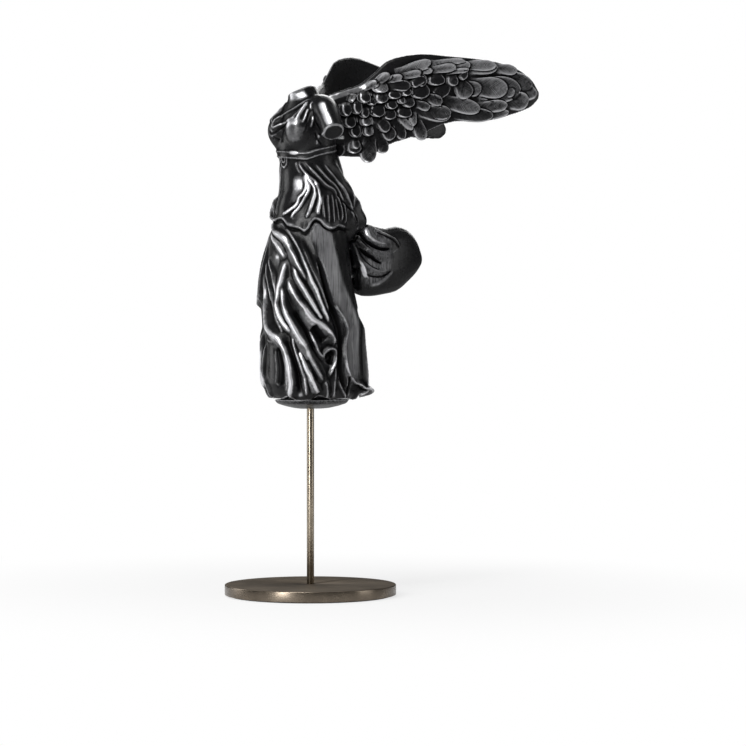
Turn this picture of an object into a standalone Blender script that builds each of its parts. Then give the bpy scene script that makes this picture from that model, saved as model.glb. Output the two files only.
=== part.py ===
"""A draped, winged figure cast in resin, standing on a steel rod and a turned disc base.

The figure is headless, with one arm ending at a cut above the elbow, as on the antique marble
that such pieces copy. It faces -Y, its own left side is +X, and +Z is up. The origin is the
centre of the base's underside. The hollow body, two wings and the loose end of the mantle are
separate castings held by dowels. A domed cap closes the body and carries a brass bush, and the
bush turns on the top of the rod, so the figure can be faced any way.
"""

import math

import bmesh
import bpy
from mathutils import Matrix, Vector

MM = 0.001  # every size below is in millimetres, times this

# Driving dimensions of the stand
BASE_DIAMETER = 150.0
BASE_THICKNESS = 9.0
BASE_CHAMFER = 0.9
PAD_THICKNESS = 1.0
PAD_INSET = 4.0
ROD_DIAMETER = 6.35
ROD_TOP = 190.0
SCREW_DIAMETER = 4.0
SCREW_LENGTH = 18.0
SCREW_HEAD_DIAMETER = 7.0
SCREW_HEAD_HEIGHT = 2.4
WASHER_DIAMETER = 9.0
WASHER_THICKNESS = 0.8

# Driving dimensions of the figure
HEM_HEIGHT = 172.0
CAP_BOTTOM = 163.5
CAP_BOSS_TOP = 188.0
CAVITY_TOP = 376.0
WALL = 7.0
BUSH_DIAMETER = 10.0
BUSH_TOP = 196.0
DOWEL_DIAMETER = 4.0
DOWEL_LENGTH = 16.0
GLUE_GAP = 0.3  # between castings, and round dowels
RUNNING_CLEARANCE = 0.08  # between the rod and the bush that turns on it

# Mesh density
FUSE_VOXEL = 1.6
BODY_SHARE = 0.062  # the share of its triangles that the fused body keeps
TURNED_STEPS = 40
PLATE_STEPS = 72

BASE_TOP = PAD_THICKNESS + BASE_THICKNESS
POCKET_DEPTH = SCREW_HEAD_HEIGHT + WASHER_THICKNESS + 0.8
SCREW_SEAT = PAD_THICKNESS + POCKET_DEPTH

# The body's level sections: height, centre x, centre y, half-width, reach forward, reach back.
BODY_SECTIONS = (
    (436, -1, -9, 12, 9, 10),
    (430, -1, -8, 20, 12, 14),
    (422, 0, -6, 27, 17, 18),
    (412, 0, -5, 31, 22, 21),
    (400, 0, -5, 31, 24, 23),
    (387, 0, -4, 28, 24, 24),
    (370, 0, 0, 27, 25, 27),
    (350, 0, 1, 29, 27, 28),
    (332, 0, 1, 34, 32, 31),
    (314, 0, 0, 37, 36, 34),
    (290, 0, 0, 38, 39, 36),
    (262, 0, 0, 38, 41, 37),
    (232, 0, 1, 37, 43, 38),
    (205, 0, 2, 37, 44, 39),
    (186, 0, 2, 37, 44, 41),
    (177, 0, 2, 35, 41, 39),
    (HEM_HEIGHT, 0, 2, 31, 36, 35),
)

# Limbs and swellings, each as points along its middle: x, y, z and the radius there.
NECK = ((0, -3, 424, 16), (-1.5, -4.5, 433, 14), (-4, -7.5, 443, 13))
LEFT_ARM = ((16, -3, 424, 13), (27, -4, 424, 12), (39, -6.5, 413.5, 10.5), (50, -9, 401, 9.7))
RIGHT_SHOULDER = ((-20, -4, 420, 13), (-28, -5, 419, 12), (-34, -5, 411, 9))
LEFT_BREAST = ((19, -7, 423, 11), (16, -14, 415, 12), (14, -19.5, 407, 13.5), (12, -17, 398, 12))
RIGHT_BREAST = ((-19, -7, 421, 11), (-16, -14, 414, 12), (-14, -20, 407, 13.5), (-12, -17, 398, 12))
BELLY = ((0, -12, 352, 14), (0, -14, 338, 17), (0, -14, 322, 18))
LEFT_LEG = (
    (16, -3, 322, 18),
    (19, 7, 292, 17),
    (22, 17, 264, 14),
    (21, 25, 240, 12.5),
    (20, 29, 215, 12),
    (20, 32, 190, 12),
)
RIGHT_LEG = (
    (-16, -5, 322, 19),
    (-17, -18, 290, 18),
    (-17, -25, 262, 16),
    (-16, -26, 235, 14),
    (-16, -25, 190, 14),
)
HEM_TOE = ((18, 32, 196, 10), (20, 38, 186, 8), (22, 43, 181, 5))
MANTLE_FILL = ((17, 6, 370, 7), (17, 13, 352, 10), (17, 21, 336, 13), (17, 25, 322, 14))
MANTLE_ROLL = ((22, 10, 372, 5), (22, 17.5, 360, 5.5), (22, 29, 342, 6), (21, 37, 330, 7), (20, 38.5, 324, 7))

# The wings: root, elbow and tip of the path each one follows in plan.
LEFT_WING_PATH = ((5, 8), (46, 70), (70, 199))
RIGHT_WING_PATH = ((-5, 8), (-64, 54), (-70, 199))
RIGHT_WING_LIFT = 5.0  # the right wing's root stands this much higher than the left one's
RIGHT_WING_DROOP = 28.0  # and its tip this much lower than its root
# Share of the path, height of the leading edge, height of the trailing edge, half-thickness.
WING_SECTIONS = (
    (0.00, 436, 386, 5.0),
    (0.14, 444, 384, 5.0),
    (0.21, 448, 384, 4.8),
    (0.29, 459, 387, 4.5),
    (0.36, 470, 395, 4.3),
    (0.50, 476, 404, 4.0),
    (0.64, 475, 416, 3.6),
    (0.79, 473, 418, 3.2),
    (0.90, 468, 425, 3.0),
    (0.97, 458, 432, 2.6),
    (1.00, 449, 437, 1.8),
)

# Dowels: the middle of each, where the two castings meet, and its direction.
WING_DOWELS = {"upper": (8.6, 13.4, 418), "lower": (11.5, 17.5, 401)}
WING_DOWEL_DIRECTION = (0.55, 0.83, 0)
TAIL_DOWELS = {"upper": (16, 34, 306), "lower": (16, 34, 280)}

# The mantle's loose end: reach back, middle x, top height, bottom height, half-thickness.
TAIL_SECTIONS = (
    (26, 14, 322, 272, 5),
    (38, 17, 325, 263, 9),
    (52, 18, 325, 262, 12),
    (66, 18, 323, 264, 13),
    (80, 17, 325, 267, 12),
    (92, 16, 322, 275, 10),
    (102, 15, 313, 283, 7),
    (109, 14, 300, 291, 3),
)

ROOT = "winged_figure_trophy"


def make_collections():
    """One collection for the parts, and one for cutters that never show."""
    for old in list(bpy.data.objects):
        bpy.data.objects.remove(old, do_unlink=True)
    parts = bpy.data.collections.new(ROOT)
    cutters = bpy.data.collections.new("cutters")
    for collection in (parts, cutters):
        bpy.context.scene.collection.children.link(collection)
    return parts, cutters


PARTS, CUTTERS = make_collections()


def material(name, colour, roughness, metallic):
    """A plain Principled material."""
    made = bpy.data.materials.new(name)
    made.use_nodes = True
    shader = made.node_tree.nodes["Principled BSDF"]
    shader.inputs["Base Color"].default_value = (*colour, 1.0)
    shader.inputs["Roughness"].default_value = roughness
    shader.inputs["Metallic"].default_value = metallic
    return made


CASTING = material("black_resin", (0.035, 0.035, 0.04), 0.32, 0.4)
BRONZE = material("bronzed_steel", (0.17, 0.14, 0.11), 0.3, 1.0)
STEEL = material("zinc_steel", (0.6, 0.6, 0.6), 0.35, 1.0)
BRASS = material("brass", (0.72, 0.55, 0.25), 0.3, 1.0)
FELT = material("felt", (0.03, 0.03, 0.03), 0.95, 0.0)


def add_object(name, mesh, look=None, cutter=False):
    """Links a mesh as a part, or as a hidden cutter."""
    made = bpy.data.objects.new(name, mesh)
    if cutter:
        made.hide_render = True
        made.display_type = "WIRE"
        CUTTERS.objects.link(made)
    else:
        PARTS.objects.link(made)
    if look:
        mesh.materials.append(look)
    return made


def mesh_from(bm, name):
    """Turns a bmesh into a mesh whose faces point out."""
    bmesh.ops.recalc_face_normals(bm, faces=bm.faces)
    mesh = bpy.data.meshes.new(name)
    bm.to_mesh(mesh)
    bm.free()
    return mesh


def turned(name, profile, look):
    """A turned piece: profile is (radius, height) pairs down the outer side from the axis to the axis."""
    bm = bmesh.new()
    points = [bm.verts.new((r * MM, 0, z * MM)) for r, z in profile]
    for a, b in zip(points, points[1:]):
        bm.edges.new((a, b))
    mesh = bpy.data.meshes.new(name)
    bm.to_mesh(mesh)
    bm.free()
    made = add_object(name, mesh, look)
    screw = made.modifiers.new("Turn", "SCREW")
    screw.steps = TURNED_STEPS
    screw.render_steps = TURNED_STEPS
    screw.use_merge_vertices = True
    screw.merge_threshold = 0.00001
    screw.use_smooth_shade = False
    return made


def rod_between(name, start, end, diameter, look=None, cutter=False, segments=16):
    """A plain cylinder from one point to another."""
    a, b = Vector(start) * MM, Vector(end) * MM
    bm = bmesh.new()
    turn = (b - a).to_track_quat("Z", "Y").to_matrix().to_4x4()
    bmesh.ops.create_cone(
        bm,
        cap_ends=True,
        segments=segments,
        radius1=diameter * MM / 2,
        radius2=diameter * MM / 2,
        depth=(b - a).length,
        matrix=Matrix.Translation((a + b) / 2) @ turn,
    )
    return add_object(name, mesh_from(bm, name), look, cutter)


def cut(target, cutter, operation="DIFFERENCE"):
    """Adds an exact Boolean."""
    boolean = target.modifiers.new(cutter.name, "BOOLEAN")
    boolean.operation = operation
    boolean.solver = "EXACT"
    boolean.object = cutter
    return boolean


def spline(points, t):
    """A point on the Catmull-Rom curve through equal-length tuples, with t from 0 to 1."""
    last = len(points) - 1
    place = min(max(t, 0.0), 1.0) * last
    i = min(int(place), last - 1)
    f = place - i
    p = [points[min(max(i + k, 0), last)] for k in (-1, 0, 1, 2)]
    return tuple(
        0.5 * (2 * b + (c - a) * f + (2 * a - 5 * b + 4 * c - d) * f * f + (3 * b - a - 3 * c + d) * f ** 3)
        for a, b, c, d in zip(*p)
    )


def add_loft(bm, rings):
    """Skins rings of points, all with the same count, and closes both ends."""
    loops = [[bm.verts.new(Vector(p) * MM) for p in ring] for ring in rings]
    count = len(loops[0])
    for low, high in zip(loops, loops[1:]):
        for k in range(count):
            n = (k + 1) % count
            bm.faces.new((low[k], low[n], high[n], high[k]))
    bm.faces.new(loops[0])
    bm.faces.new(reversed(loops[-1]))


def level_ring(section, shrink=0.0, count=48):
    """A rounded level outline, reaching further forward or back than sideways."""
    z, cx, cy, half, front, back = section
    ring = []
    for k in range(count):
        a = 2 * math.pi * k / count
        reach = back if math.sin(a) > 0 else front
        ring.append((cx + (half - shrink) * math.cos(a), cy + (reach - shrink) * math.sin(a), z))
    return ring


def section_at(height):
    """The body's section at a height, read off the table in straight lines."""
    for high, low in zip(BODY_SECTIONS, BODY_SECTIONS[1:]):
        if low[0] <= height <= high[0]:
            f = (height - low[0]) / (high[0] - low[0])
            return (height, *(b + (a - b) * f for a, b in zip(high[1:], low[1:])))
    return (height, *BODY_SECTIONS[-1][1:])


def add_limb(bm, points, flat_end=False, count=20):
    """A limb: level-free rings swept along a curve through (x, y, z, radius) points, with domed ends.

    flat_end leaves the last ring as a flat cut instead of a dome.
    """
    start, end = Vector(points[0][:3]), Vector(points[-1][:3])
    across = (end - start).orthogonal().normalized()
    steps = 6 * (len(points) - 1)
    rings = []

    def ring(centre, along, radius):
        side = (across - along * across.dot(along)).normalized()
        other = along.cross(side)
        angles = [2 * math.pi * k / count for k in range(count)]
        rings.append([centre + (side * math.cos(a) + other * math.sin(a)) * radius for a in angles])

    for k in range(steps + 1):
        here = spline(points, k / steps)
        near = Vector(spline(points, max(k - 0.5, 0) / steps)[:3])
        far = Vector(spline(points, min(k + 0.5, steps) / steps)[:3])
        centre, along, radius = Vector(here[:3]), (far - near).normalized(), here[3]
        dome = [math.radians(a) for a in (15, 40, 65)]
        if k == 0:
            for a in dome:
                ring(centre - along * radius * math.cos(a), along, radius * math.sin(a))
        ring(centre, along, radius)
        if k == steps and not flat_end:
            for a in reversed(dome):
                ring(centre + along * radius * math.cos(a), along, radius * math.sin(a))
    add_loft(bm, rings)


def fuse(obj, share):
    """Fuses overlapping volumes into one skin, softens the joins, and thins the mesh."""
    remesh = obj.modifiers.new("Fuse", "REMESH")
    remesh.mode = "VOXEL"
    remesh.voxel_size = FUSE_VOXEL * MM
    soften = obj.modifiers.new("Soften", "SMOOTH")
    soften.iterations = 8
    soften.factor = 0.5
    thin = obj.modifiers.new("Thin", "DECIMATE")
    thin.ratio = share


# ---------------------------------------------------------------- stand


def base_plate():
    """The turned disc, with a screw hole and a pocket for the screw's head underneath."""
    r = BASE_DIAMETER / 2
    hole = SCREW_DIAMETER / 2 + 0.2
    pocket = WASHER_DIAMETER / 2 + 0.3
    low = PAD_THICKNESS + 0.05
    outline = [
        (hole, BASE_TOP),
        (r - BASE_CHAMFER, BASE_TOP),
        (r, BASE_TOP - BASE_CHAMFER),
        (r, low + BASE_CHAMFER),
        (r - BASE_CHAMFER, low),
        (pocket, low),
        (pocket, SCREW_SEAT),
        (hole, SCREW_SEAT),
        (hole, BASE_TOP),
    ]
    plate = turned("base_plate", outline, BRONZE)
    plate.modifiers["Turn"].steps = PLATE_STEPS
    plate.modifiers["Turn"].render_steps = PLATE_STEPS
    return plate


def base_pad():
    """The felt disc stuck under the plate; it hides the screw."""
    r = BASE_DIAMETER / 2 - PAD_INSET
    return turned("base_pad", [(0, PAD_THICKNESS), (r, PAD_THICKNESS), (r, 0), (0, 0)], FELT)


def base_screw():
    """The cap screw that pulls the rod down onto the plate, with a hexagon socket in its head."""
    head = SCREW_HEAD_DIAMETER / 2
    shank = SCREW_DIAMETER / 2
    under = SCREW_SEAT - WASHER_THICKNESS - 0.02
    low = under - SCREW_HEAD_HEIGHT
    top = under + SCREW_LENGTH
    outline = [(0, top), (shank - 0.5, top), (shank, top - 0.5), (shank, under), (head, under), (head, low), (0, low)]
    screw = turned("base_screw", outline, STEEL)
    key = rod_between("hex_socket", (0, 0, low - 1), (0, 0, low + 1.5), 2.9, cutter=True, segments=6)
    cut(screw, key)
    return screw


def base_washer():
    """The spring washer under the screw's head."""
    inner = SCREW_DIAMETER / 2 + 0.25
    outer = WASHER_DIAMETER / 2
    top = SCREW_SEAT - 0.01
    low = top - WASHER_THICKNESS + 0.02
    return turned("base_washer", [(inner, top), (outer, top), (outer, low), (inner, low), (inner, top)], STEEL)


def support_rod():
    """The rod: tapped at its foot, rounded at its top."""
    r = ROD_DIAMETER / 2
    bore = SCREW_DIAMETER / 2 + 0.05
    foot = BASE_TOP + 0.02
    bore_top = SCREW_SEAT + SCREW_LENGTH + 2
    outline = [
        (0, ROD_TOP),
        (r * 0.6, ROD_TOP - 0.35),
        (r, ROD_TOP - 1.4),
        (r, foot),
        (bore, foot),
        (bore, bore_top),
        (0, bore_top + 1),
    ]
    return turned("support_rod", outline, BRONZE)


# ---------------------------------------------------------------- figure


def body_outer(name, cutter=False, extra=0.0):
    """The draped body before anything is cut from it; extra swells it evenly."""
    bm = bmesh.new()
    count = 40
    add_loft(bm, [level_ring(spline(BODY_SECTIONS, k / count), -extra) for k in range(count + 1)])
    for limb in (RIGHT_SHOULDER, LEFT_BREAST, RIGHT_BREAST, BELLY, LEFT_LEG, RIGHT_LEG, HEM_TOE, MANTLE_FILL, MANTLE_ROLL):
        add_limb(bm, [(x, y, z, r + extra) for x, y, z, r in limb])
    for limb in (NECK, LEFT_ARM):
        add_limb(bm, [(x, y, z, r + extra) for x, y, z, r in limb], flat_end=True)
    return add_object(name, mesh_from(bm, name), CASTING, cutter)


def path_point(path, t):
    """A point on a wing's plan path, a quadratic curve."""
    a, b, c = (Vector(p) for p in path)
    return a * (1 - t) ** 2 + b * 2 * t * (1 - t) + c * t * t


def wing_solid(name, path, lift=0.0, droop=0.0):
    """One wing: upright lens sections, thick at the leading edge on top, along a curved path in plan."""
    rings = []
    count = 26
    for k in range(count + 1):
        t, top, low, half = spline(WING_SECTIONS, k / count)
        raised = lift - droop * max(0.0, 2 * t - 1) ** 2
        here = path_point(path, t)
        ahead = path_point(path, t + 0.01) - path_point(path, t - 0.01)
        side = Vector((ahead.y, -ahead.x)).normalized()
        ring = []
        for j in range(18):
            a = 2 * math.pi * j / 18
            height = (1 + math.cos(a)) / 2
            thick = half * math.sin(a) * (0.45 + 0.75 * height)
            x, y = here + side * thick
            ring.append((x, y, low + min(raised, 0) + (top + raised - low - min(raised, 0)) * height))
        rings.append(ring)
    bm = bmesh.new()
    add_loft(bm, rings)
    return add_object(name, mesh_from(bm, name), CASTING)


def tail_solid(name):
    """The mantle's loose end: a closed, billowing pouch behind the left hip."""
    rings = []
    count = 16
    for k in range(count + 1):
        y, x, top, low, half = spline(TAIL_SECTIONS, k / count)
        ring = []
        for j in range(20):
            a = 2 * math.pi * j / 20
            ring.append((x + half * math.sin(a), y, (top + low) / 2 + (top - low) / 2 * math.cos(a)))
        rings.append(ring)
    bm = bmesh.new()
    add_loft(bm, rings)
    return add_object(name, mesh_from(bm, name), CASTING)


def cavity():
    """The hollow inside the body, open at the hem."""
    heights = [HEM_HEIGHT - 4, HEM_HEIGHT, 180, 190, 220, 260, 300, 330, 350, CAVITY_TOP]
    rings = [level_ring(section_at(z), WALL, count=24) for z in heights]
    tip = section_at(CAVITY_TOP)
    rings.append(level_ring((CAVITY_TOP + 6, *tip[1:]), WALL + 9, count=24))
    bm = bmesh.new()
    add_loft(bm, rings)
    return add_object("body_cavity", mesh_from(bm, "body_cavity"), cutter=True)


def dowel(name, middle, direction):
    """A steel dowel, and the cutter for the two holes that it sits in."""
    along = Vector(direction).normalized() * DOWEL_LENGTH / 2
    middle = Vector(middle)
    pin = rod_between(name, middle - along, middle + along, DOWEL_DIAMETER, STEEL)
    longer = along * (1 + 2 * GLUE_GAP / DOWEL_LENGTH)
    wide = DOWEL_DIAMETER + 2 * GLUE_GAP
    hole = rod_between(f"{name}_hole", middle - longer, middle + longer, wide, cutter=True)
    return pin, hole


def underside_cap():
    """The domed cap that closes the hem, with a rim inside the body and a boss round the bush."""
    hem = (HEM_HEIGHT, *BODY_SECTIONS[-1][1:])
    seat = HEM_HEIGHT - GLUE_GAP

    def outline(height, shrink):
        return level_ring((height, *hem[1:]), shrink, count=40)

    rings = [
        outline(seat + 5, WALL + GLUE_GAP + 0.5),
        outline(seat, WALL + GLUE_GAP),
        outline(seat, 1.5),
        outline(seat - 1.6, 0.8),
        outline(seat - 3.6, 4),
        outline(seat - 5.8, 11),
        outline(CAP_BOTTOM + 0.6, 19),
        outline(CAP_BOTTOM, 25),
    ]
    bm = bmesh.new()
    add_loft(bm, rings)
    cap = add_object("underside_cap", mesh_from(bm, "underside_cap"), CASTING)
    boss = rod_between("cap_boss", (0, 0, HEM_HEIGHT), (0, 0, CAP_BOSS_TOP), 2 * BUSH_DIAMETER, cutter=True, segments=32)
    wide = BUSH_DIAMETER + 2 * GLUE_GAP
    bore = rod_between("cap_bore", (0, 0, 150), (0, 0, 220), wide, cutter=True, segments=TURNED_STEPS)
    cut(cap, boss, "UNION")
    cut(cap, bore)
    return cap


def rod_bush():
    """The brass bush glued in the cap: a blind tube that sits and turns on the rod's rounded top."""
    outer = BUSH_DIAMETER / 2
    bore = ROD_DIAMETER / 2 + RUNNING_CLEARANCE
    foot = CAP_BOTTOM + 0.4
    outline = [
        (0, BUSH_TOP),
        (outer - 0.6, BUSH_TOP),
        (outer, BUSH_TOP - 0.6),
        (outer, foot),
        (bore + 0.4, foot),
        (bore, foot + 0.4),
        (bore, ROD_TOP + 0.1),
        (0, ROD_TOP + 0.1),
    ]
    return turned("rod_bush", outline, BRASS)


def figure():
    """The castings and their dowels, each cut back from the body with a gap for glue."""
    body = body_outer("figure_body")
    fuse(body, BODY_SHARE)
    swollen = body_outer("swollen_body", cutter=True, extra=2 * GLUE_GAP)
    fuse(swollen, 2 * BODY_SHARE)
    cut(body, cavity())
    underside_cap()
    rod_bush()
    sides = (
        ("left", 1, wing_solid("left_wing", LEFT_WING_PATH)),
        ("right", -1, wing_solid("right_wing", RIGHT_WING_PATH, RIGHT_WING_LIFT, RIGHT_WING_DROOP)),
    )
    for side, sign, wing in sides:
        cut(wing, swollen)
        dx, dy, dz = WING_DOWEL_DIRECTION
        for place, (x, y, z) in WING_DOWELS.items():
            _, hole = dowel(f"{side}_wing_{place}_dowel", (sign * x, y, z), (sign * dx, dy, dz))
            cut(body, hole)
            cut(wing, hole)
    tail = tail_solid("mantle_tail")
    cut(tail, swollen)
    for place, middle in TAIL_DOWELS.items():
        _, hole = dowel(f"mantle_{place}_dowel", middle, (0, 1, 0))
        cut(body, hole)
        cut(tail, hole)


base_plate()
base_pad()
base_screw()
base_washer()
support_rod()
figure()
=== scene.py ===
"""Looks of the winged figure trophy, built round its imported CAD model.

The drapery is sculpted by strokes: each is a curve laid on the cast form, with a height and a
width on either side, pushed out of the surface or into it. The wings are laid with feather
blades, row over row, and fused. All lengths in this script are millimetres unless a name says so.
"""

import math

import bmesh
import bpy
import numpy as np
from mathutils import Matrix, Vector
from mathutils.bvhtree import BVHTree
from mathutils.kdtree import KDTree


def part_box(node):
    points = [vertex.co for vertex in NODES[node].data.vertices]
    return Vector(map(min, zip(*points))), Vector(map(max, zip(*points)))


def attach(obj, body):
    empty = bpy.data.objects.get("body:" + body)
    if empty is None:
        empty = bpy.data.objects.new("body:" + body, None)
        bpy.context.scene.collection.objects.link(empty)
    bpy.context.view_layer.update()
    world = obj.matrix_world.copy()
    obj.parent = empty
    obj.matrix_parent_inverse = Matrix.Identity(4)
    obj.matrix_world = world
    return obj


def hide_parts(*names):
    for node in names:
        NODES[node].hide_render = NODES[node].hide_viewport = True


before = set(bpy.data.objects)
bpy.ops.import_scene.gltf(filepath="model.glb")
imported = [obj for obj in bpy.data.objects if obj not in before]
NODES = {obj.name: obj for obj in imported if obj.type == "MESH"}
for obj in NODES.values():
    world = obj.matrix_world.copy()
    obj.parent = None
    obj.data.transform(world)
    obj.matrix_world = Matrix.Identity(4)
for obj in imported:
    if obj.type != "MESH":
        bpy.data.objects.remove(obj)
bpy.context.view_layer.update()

MM = 0.001

SKIN_VOXEL = 0.62  # grain of the sculpted castings
WING_VOXEL = 0.52
MOST_FACES = 190_000  # triangles kept in one casting

CAMERA_AZIMUTH = 55.0  # degrees round from the front, towards the figure's left


# ---------------------------------------------------------------- numbers and meshes


def spline(points, t):
    """Points on the Catmull-Rom curve through equal-length tuples, at shares t (0 to 1) of its spans."""
    p = np.asarray(points, float)
    last = len(p) - 1
    place = np.clip(t, 0.0, 1.0) * last
    i = np.minimum(place.astype(int), last - 1)
    f = (place - i)[:, None]
    a, b, c, d = (p[np.clip(i + k, 0, last)] for k in (-1, 0, 1, 2))
    return 0.5 * (2 * b + (c - a) * f + (2 * a - 5 * b + 4 * c - d) * f**2 + (3 * b - a - 3 * c + d) * f**3)


def unit(v):
    """Rows of v at length 1."""
    return v / np.maximum(np.linalg.norm(v, axis=1, keepdims=True), 1e-9)


def smoothstep(low, high, x):
    """0 at low, 1 at high, and smooth between; low may be the larger."""
    t = np.clip((x - low) / (high - low), 0.0, 1.0)
    return t * t * (3 - 2 * t)


def wobble(k, seed=0.0):
    """A repeatable number from -1 to 1 for an index."""
    return math.sin(12.9898 * (k + 1) + 78.233 * (seed + 0.37)) * math.cos(4.1414 * (k + 2.3) + seed)


def read_mesh(mesh):
    """Vertices and smooth vertex normals of a mesh, as arrays; vertices in millimetres."""
    count = len(mesh.vertices)
    co = np.empty(count * 3, np.float32)
    no = np.empty(count * 3, np.float32)
    mesh.vertices.foreach_get("co", co)
    mesh.vertices.foreach_get("normal", no)
    return co.reshape(-1, 3).astype(float) / MM, no.reshape(-1, 3).astype(float)


def write_mesh(mesh, co):
    """Puts vertices in millimetres back into a mesh."""
    mesh.vertices.foreach_set("co", (co * MM).astype(np.float32).ravel())
    mesh.update()


def edges_of(mesh):
    """A mesh's edges as an array of vertex pairs."""
    pairs = np.empty(len(mesh.edges) * 2, np.int32)
    mesh.edges.foreach_get("vertices", pairs)
    return pairs.reshape(-1, 2)


def blur(values, edges, rounds):
    """Averages a value, or rows of values, with its neighbours along the edges."""
    flat = values.ndim == 1
    values = values.reshape(len(values), -1).astype(float)
    count = len(values)
    a, b = edges[:, 0], edges[:, 1]
    degree = np.maximum(np.bincount(a, minlength=count) + np.bincount(b, minlength=count), 1)
    for _ in range(rounds):
        total = np.stack(
            [np.bincount(a, col[b], count) + np.bincount(b, col[a], count) for col in values.T], axis=1
        )
        values = 0.5 * values + 0.5 * total / degree[:, None]
    return values[:, 0] if flat else values


def new_piece(name, mesh):
    """Links a mesh as a piece."""
    piece = bpy.data.objects.new(name, mesh)
    bpy.context.scene.collection.objects.link(piece)
    return piece


def piece_from(bm, name):
    """Links a finished bmesh as a piece."""
    mesh = bpy.data.meshes.new(name)
    bm.to_mesh(mesh)
    bm.free()
    return new_piece(name, mesh)


def settle(piece):
    """Applies a piece's modifiers."""
    bpy.context.view_layer.update()
    graph = bpy.context.evaluated_depsgraph_get()
    done = bpy.data.meshes.new_from_object(
        piece.evaluated_get(graph), preserve_all_data_layers=True, depsgraph=graph
    )
    piece.modifiers.clear()
    old, piece.data = piece.data, done
    bpy.data.meshes.remove(old)


def remesh(piece, voxel):
    """Rebuilds a piece's skin on an even grid, fusing whatever overlaps."""
    grid = piece.modifiers.new("Grid", "REMESH")
    grid.mode = "VOXEL"
    grid.voxel_size = voxel * MM
    settle(piece)


def thin(piece):
    """Thins a casting's mesh to about MOST_FACES triangles, mostly where it is flat."""
    faces = 2 * len(piece.data.polygons)
    if faces > MOST_FACES:
        fewer = piece.modifiers.new("Thin", "DECIMATE")
        fewer.ratio = MOST_FACES / faces
        settle(piece)


def mark(piece, name, values):
    """Stores a number per vertex, for the material to read."""
    layer = piece.data.attributes.get(name) or piece.data.attributes.new(name, "FLOAT", "POINT")
    layer.data.foreach_set("value", np.asarray(values, np.float32))


# ---------------------------------------------------------------- sculpting


DEEPEST = 4.8  # the castings' walls are 7 thick


def between(first, last, count, seed=0.0, stray=0.45, sway=2.5):
    """Crest lines spaced from one line to another, each a little different, as (points, weight) pairs.

    They start at different places: some leave out the first quarter of their length.
    """
    first, last = np.array(first, float), np.array(last, float)
    lines = []
    for k in range(count):
        f = (k + stray * wobble(k, seed)) / max(count - 1, 1)
        line = first * (1 - f) + last * f
        for i in range(1, len(line)):
            line[i] += sway * wobble(k + 7 * i, seed + 9), 0.5 * sway * wobble(k + 5 * i, seed + 11)
        late = 0.13 * (1 + wobble(k, seed + 3))
        lines.append((spline(line, np.linspace(late, 1, 2 * len(line))), 1 + 0.4 * wobble(k, seed + 5)))
    return lines


def faded(share, fade):
    """1 along a line, falling to 0 over fade's two shares of its length, at its start and at its end."""
    value = np.ones(len(share))
    if fade[0]:
        value *= smoothstep(0, fade[0], share)
    if fade[1]:
        value *= smoothstep(0, fade[1], 1 - share)
    return value


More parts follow.
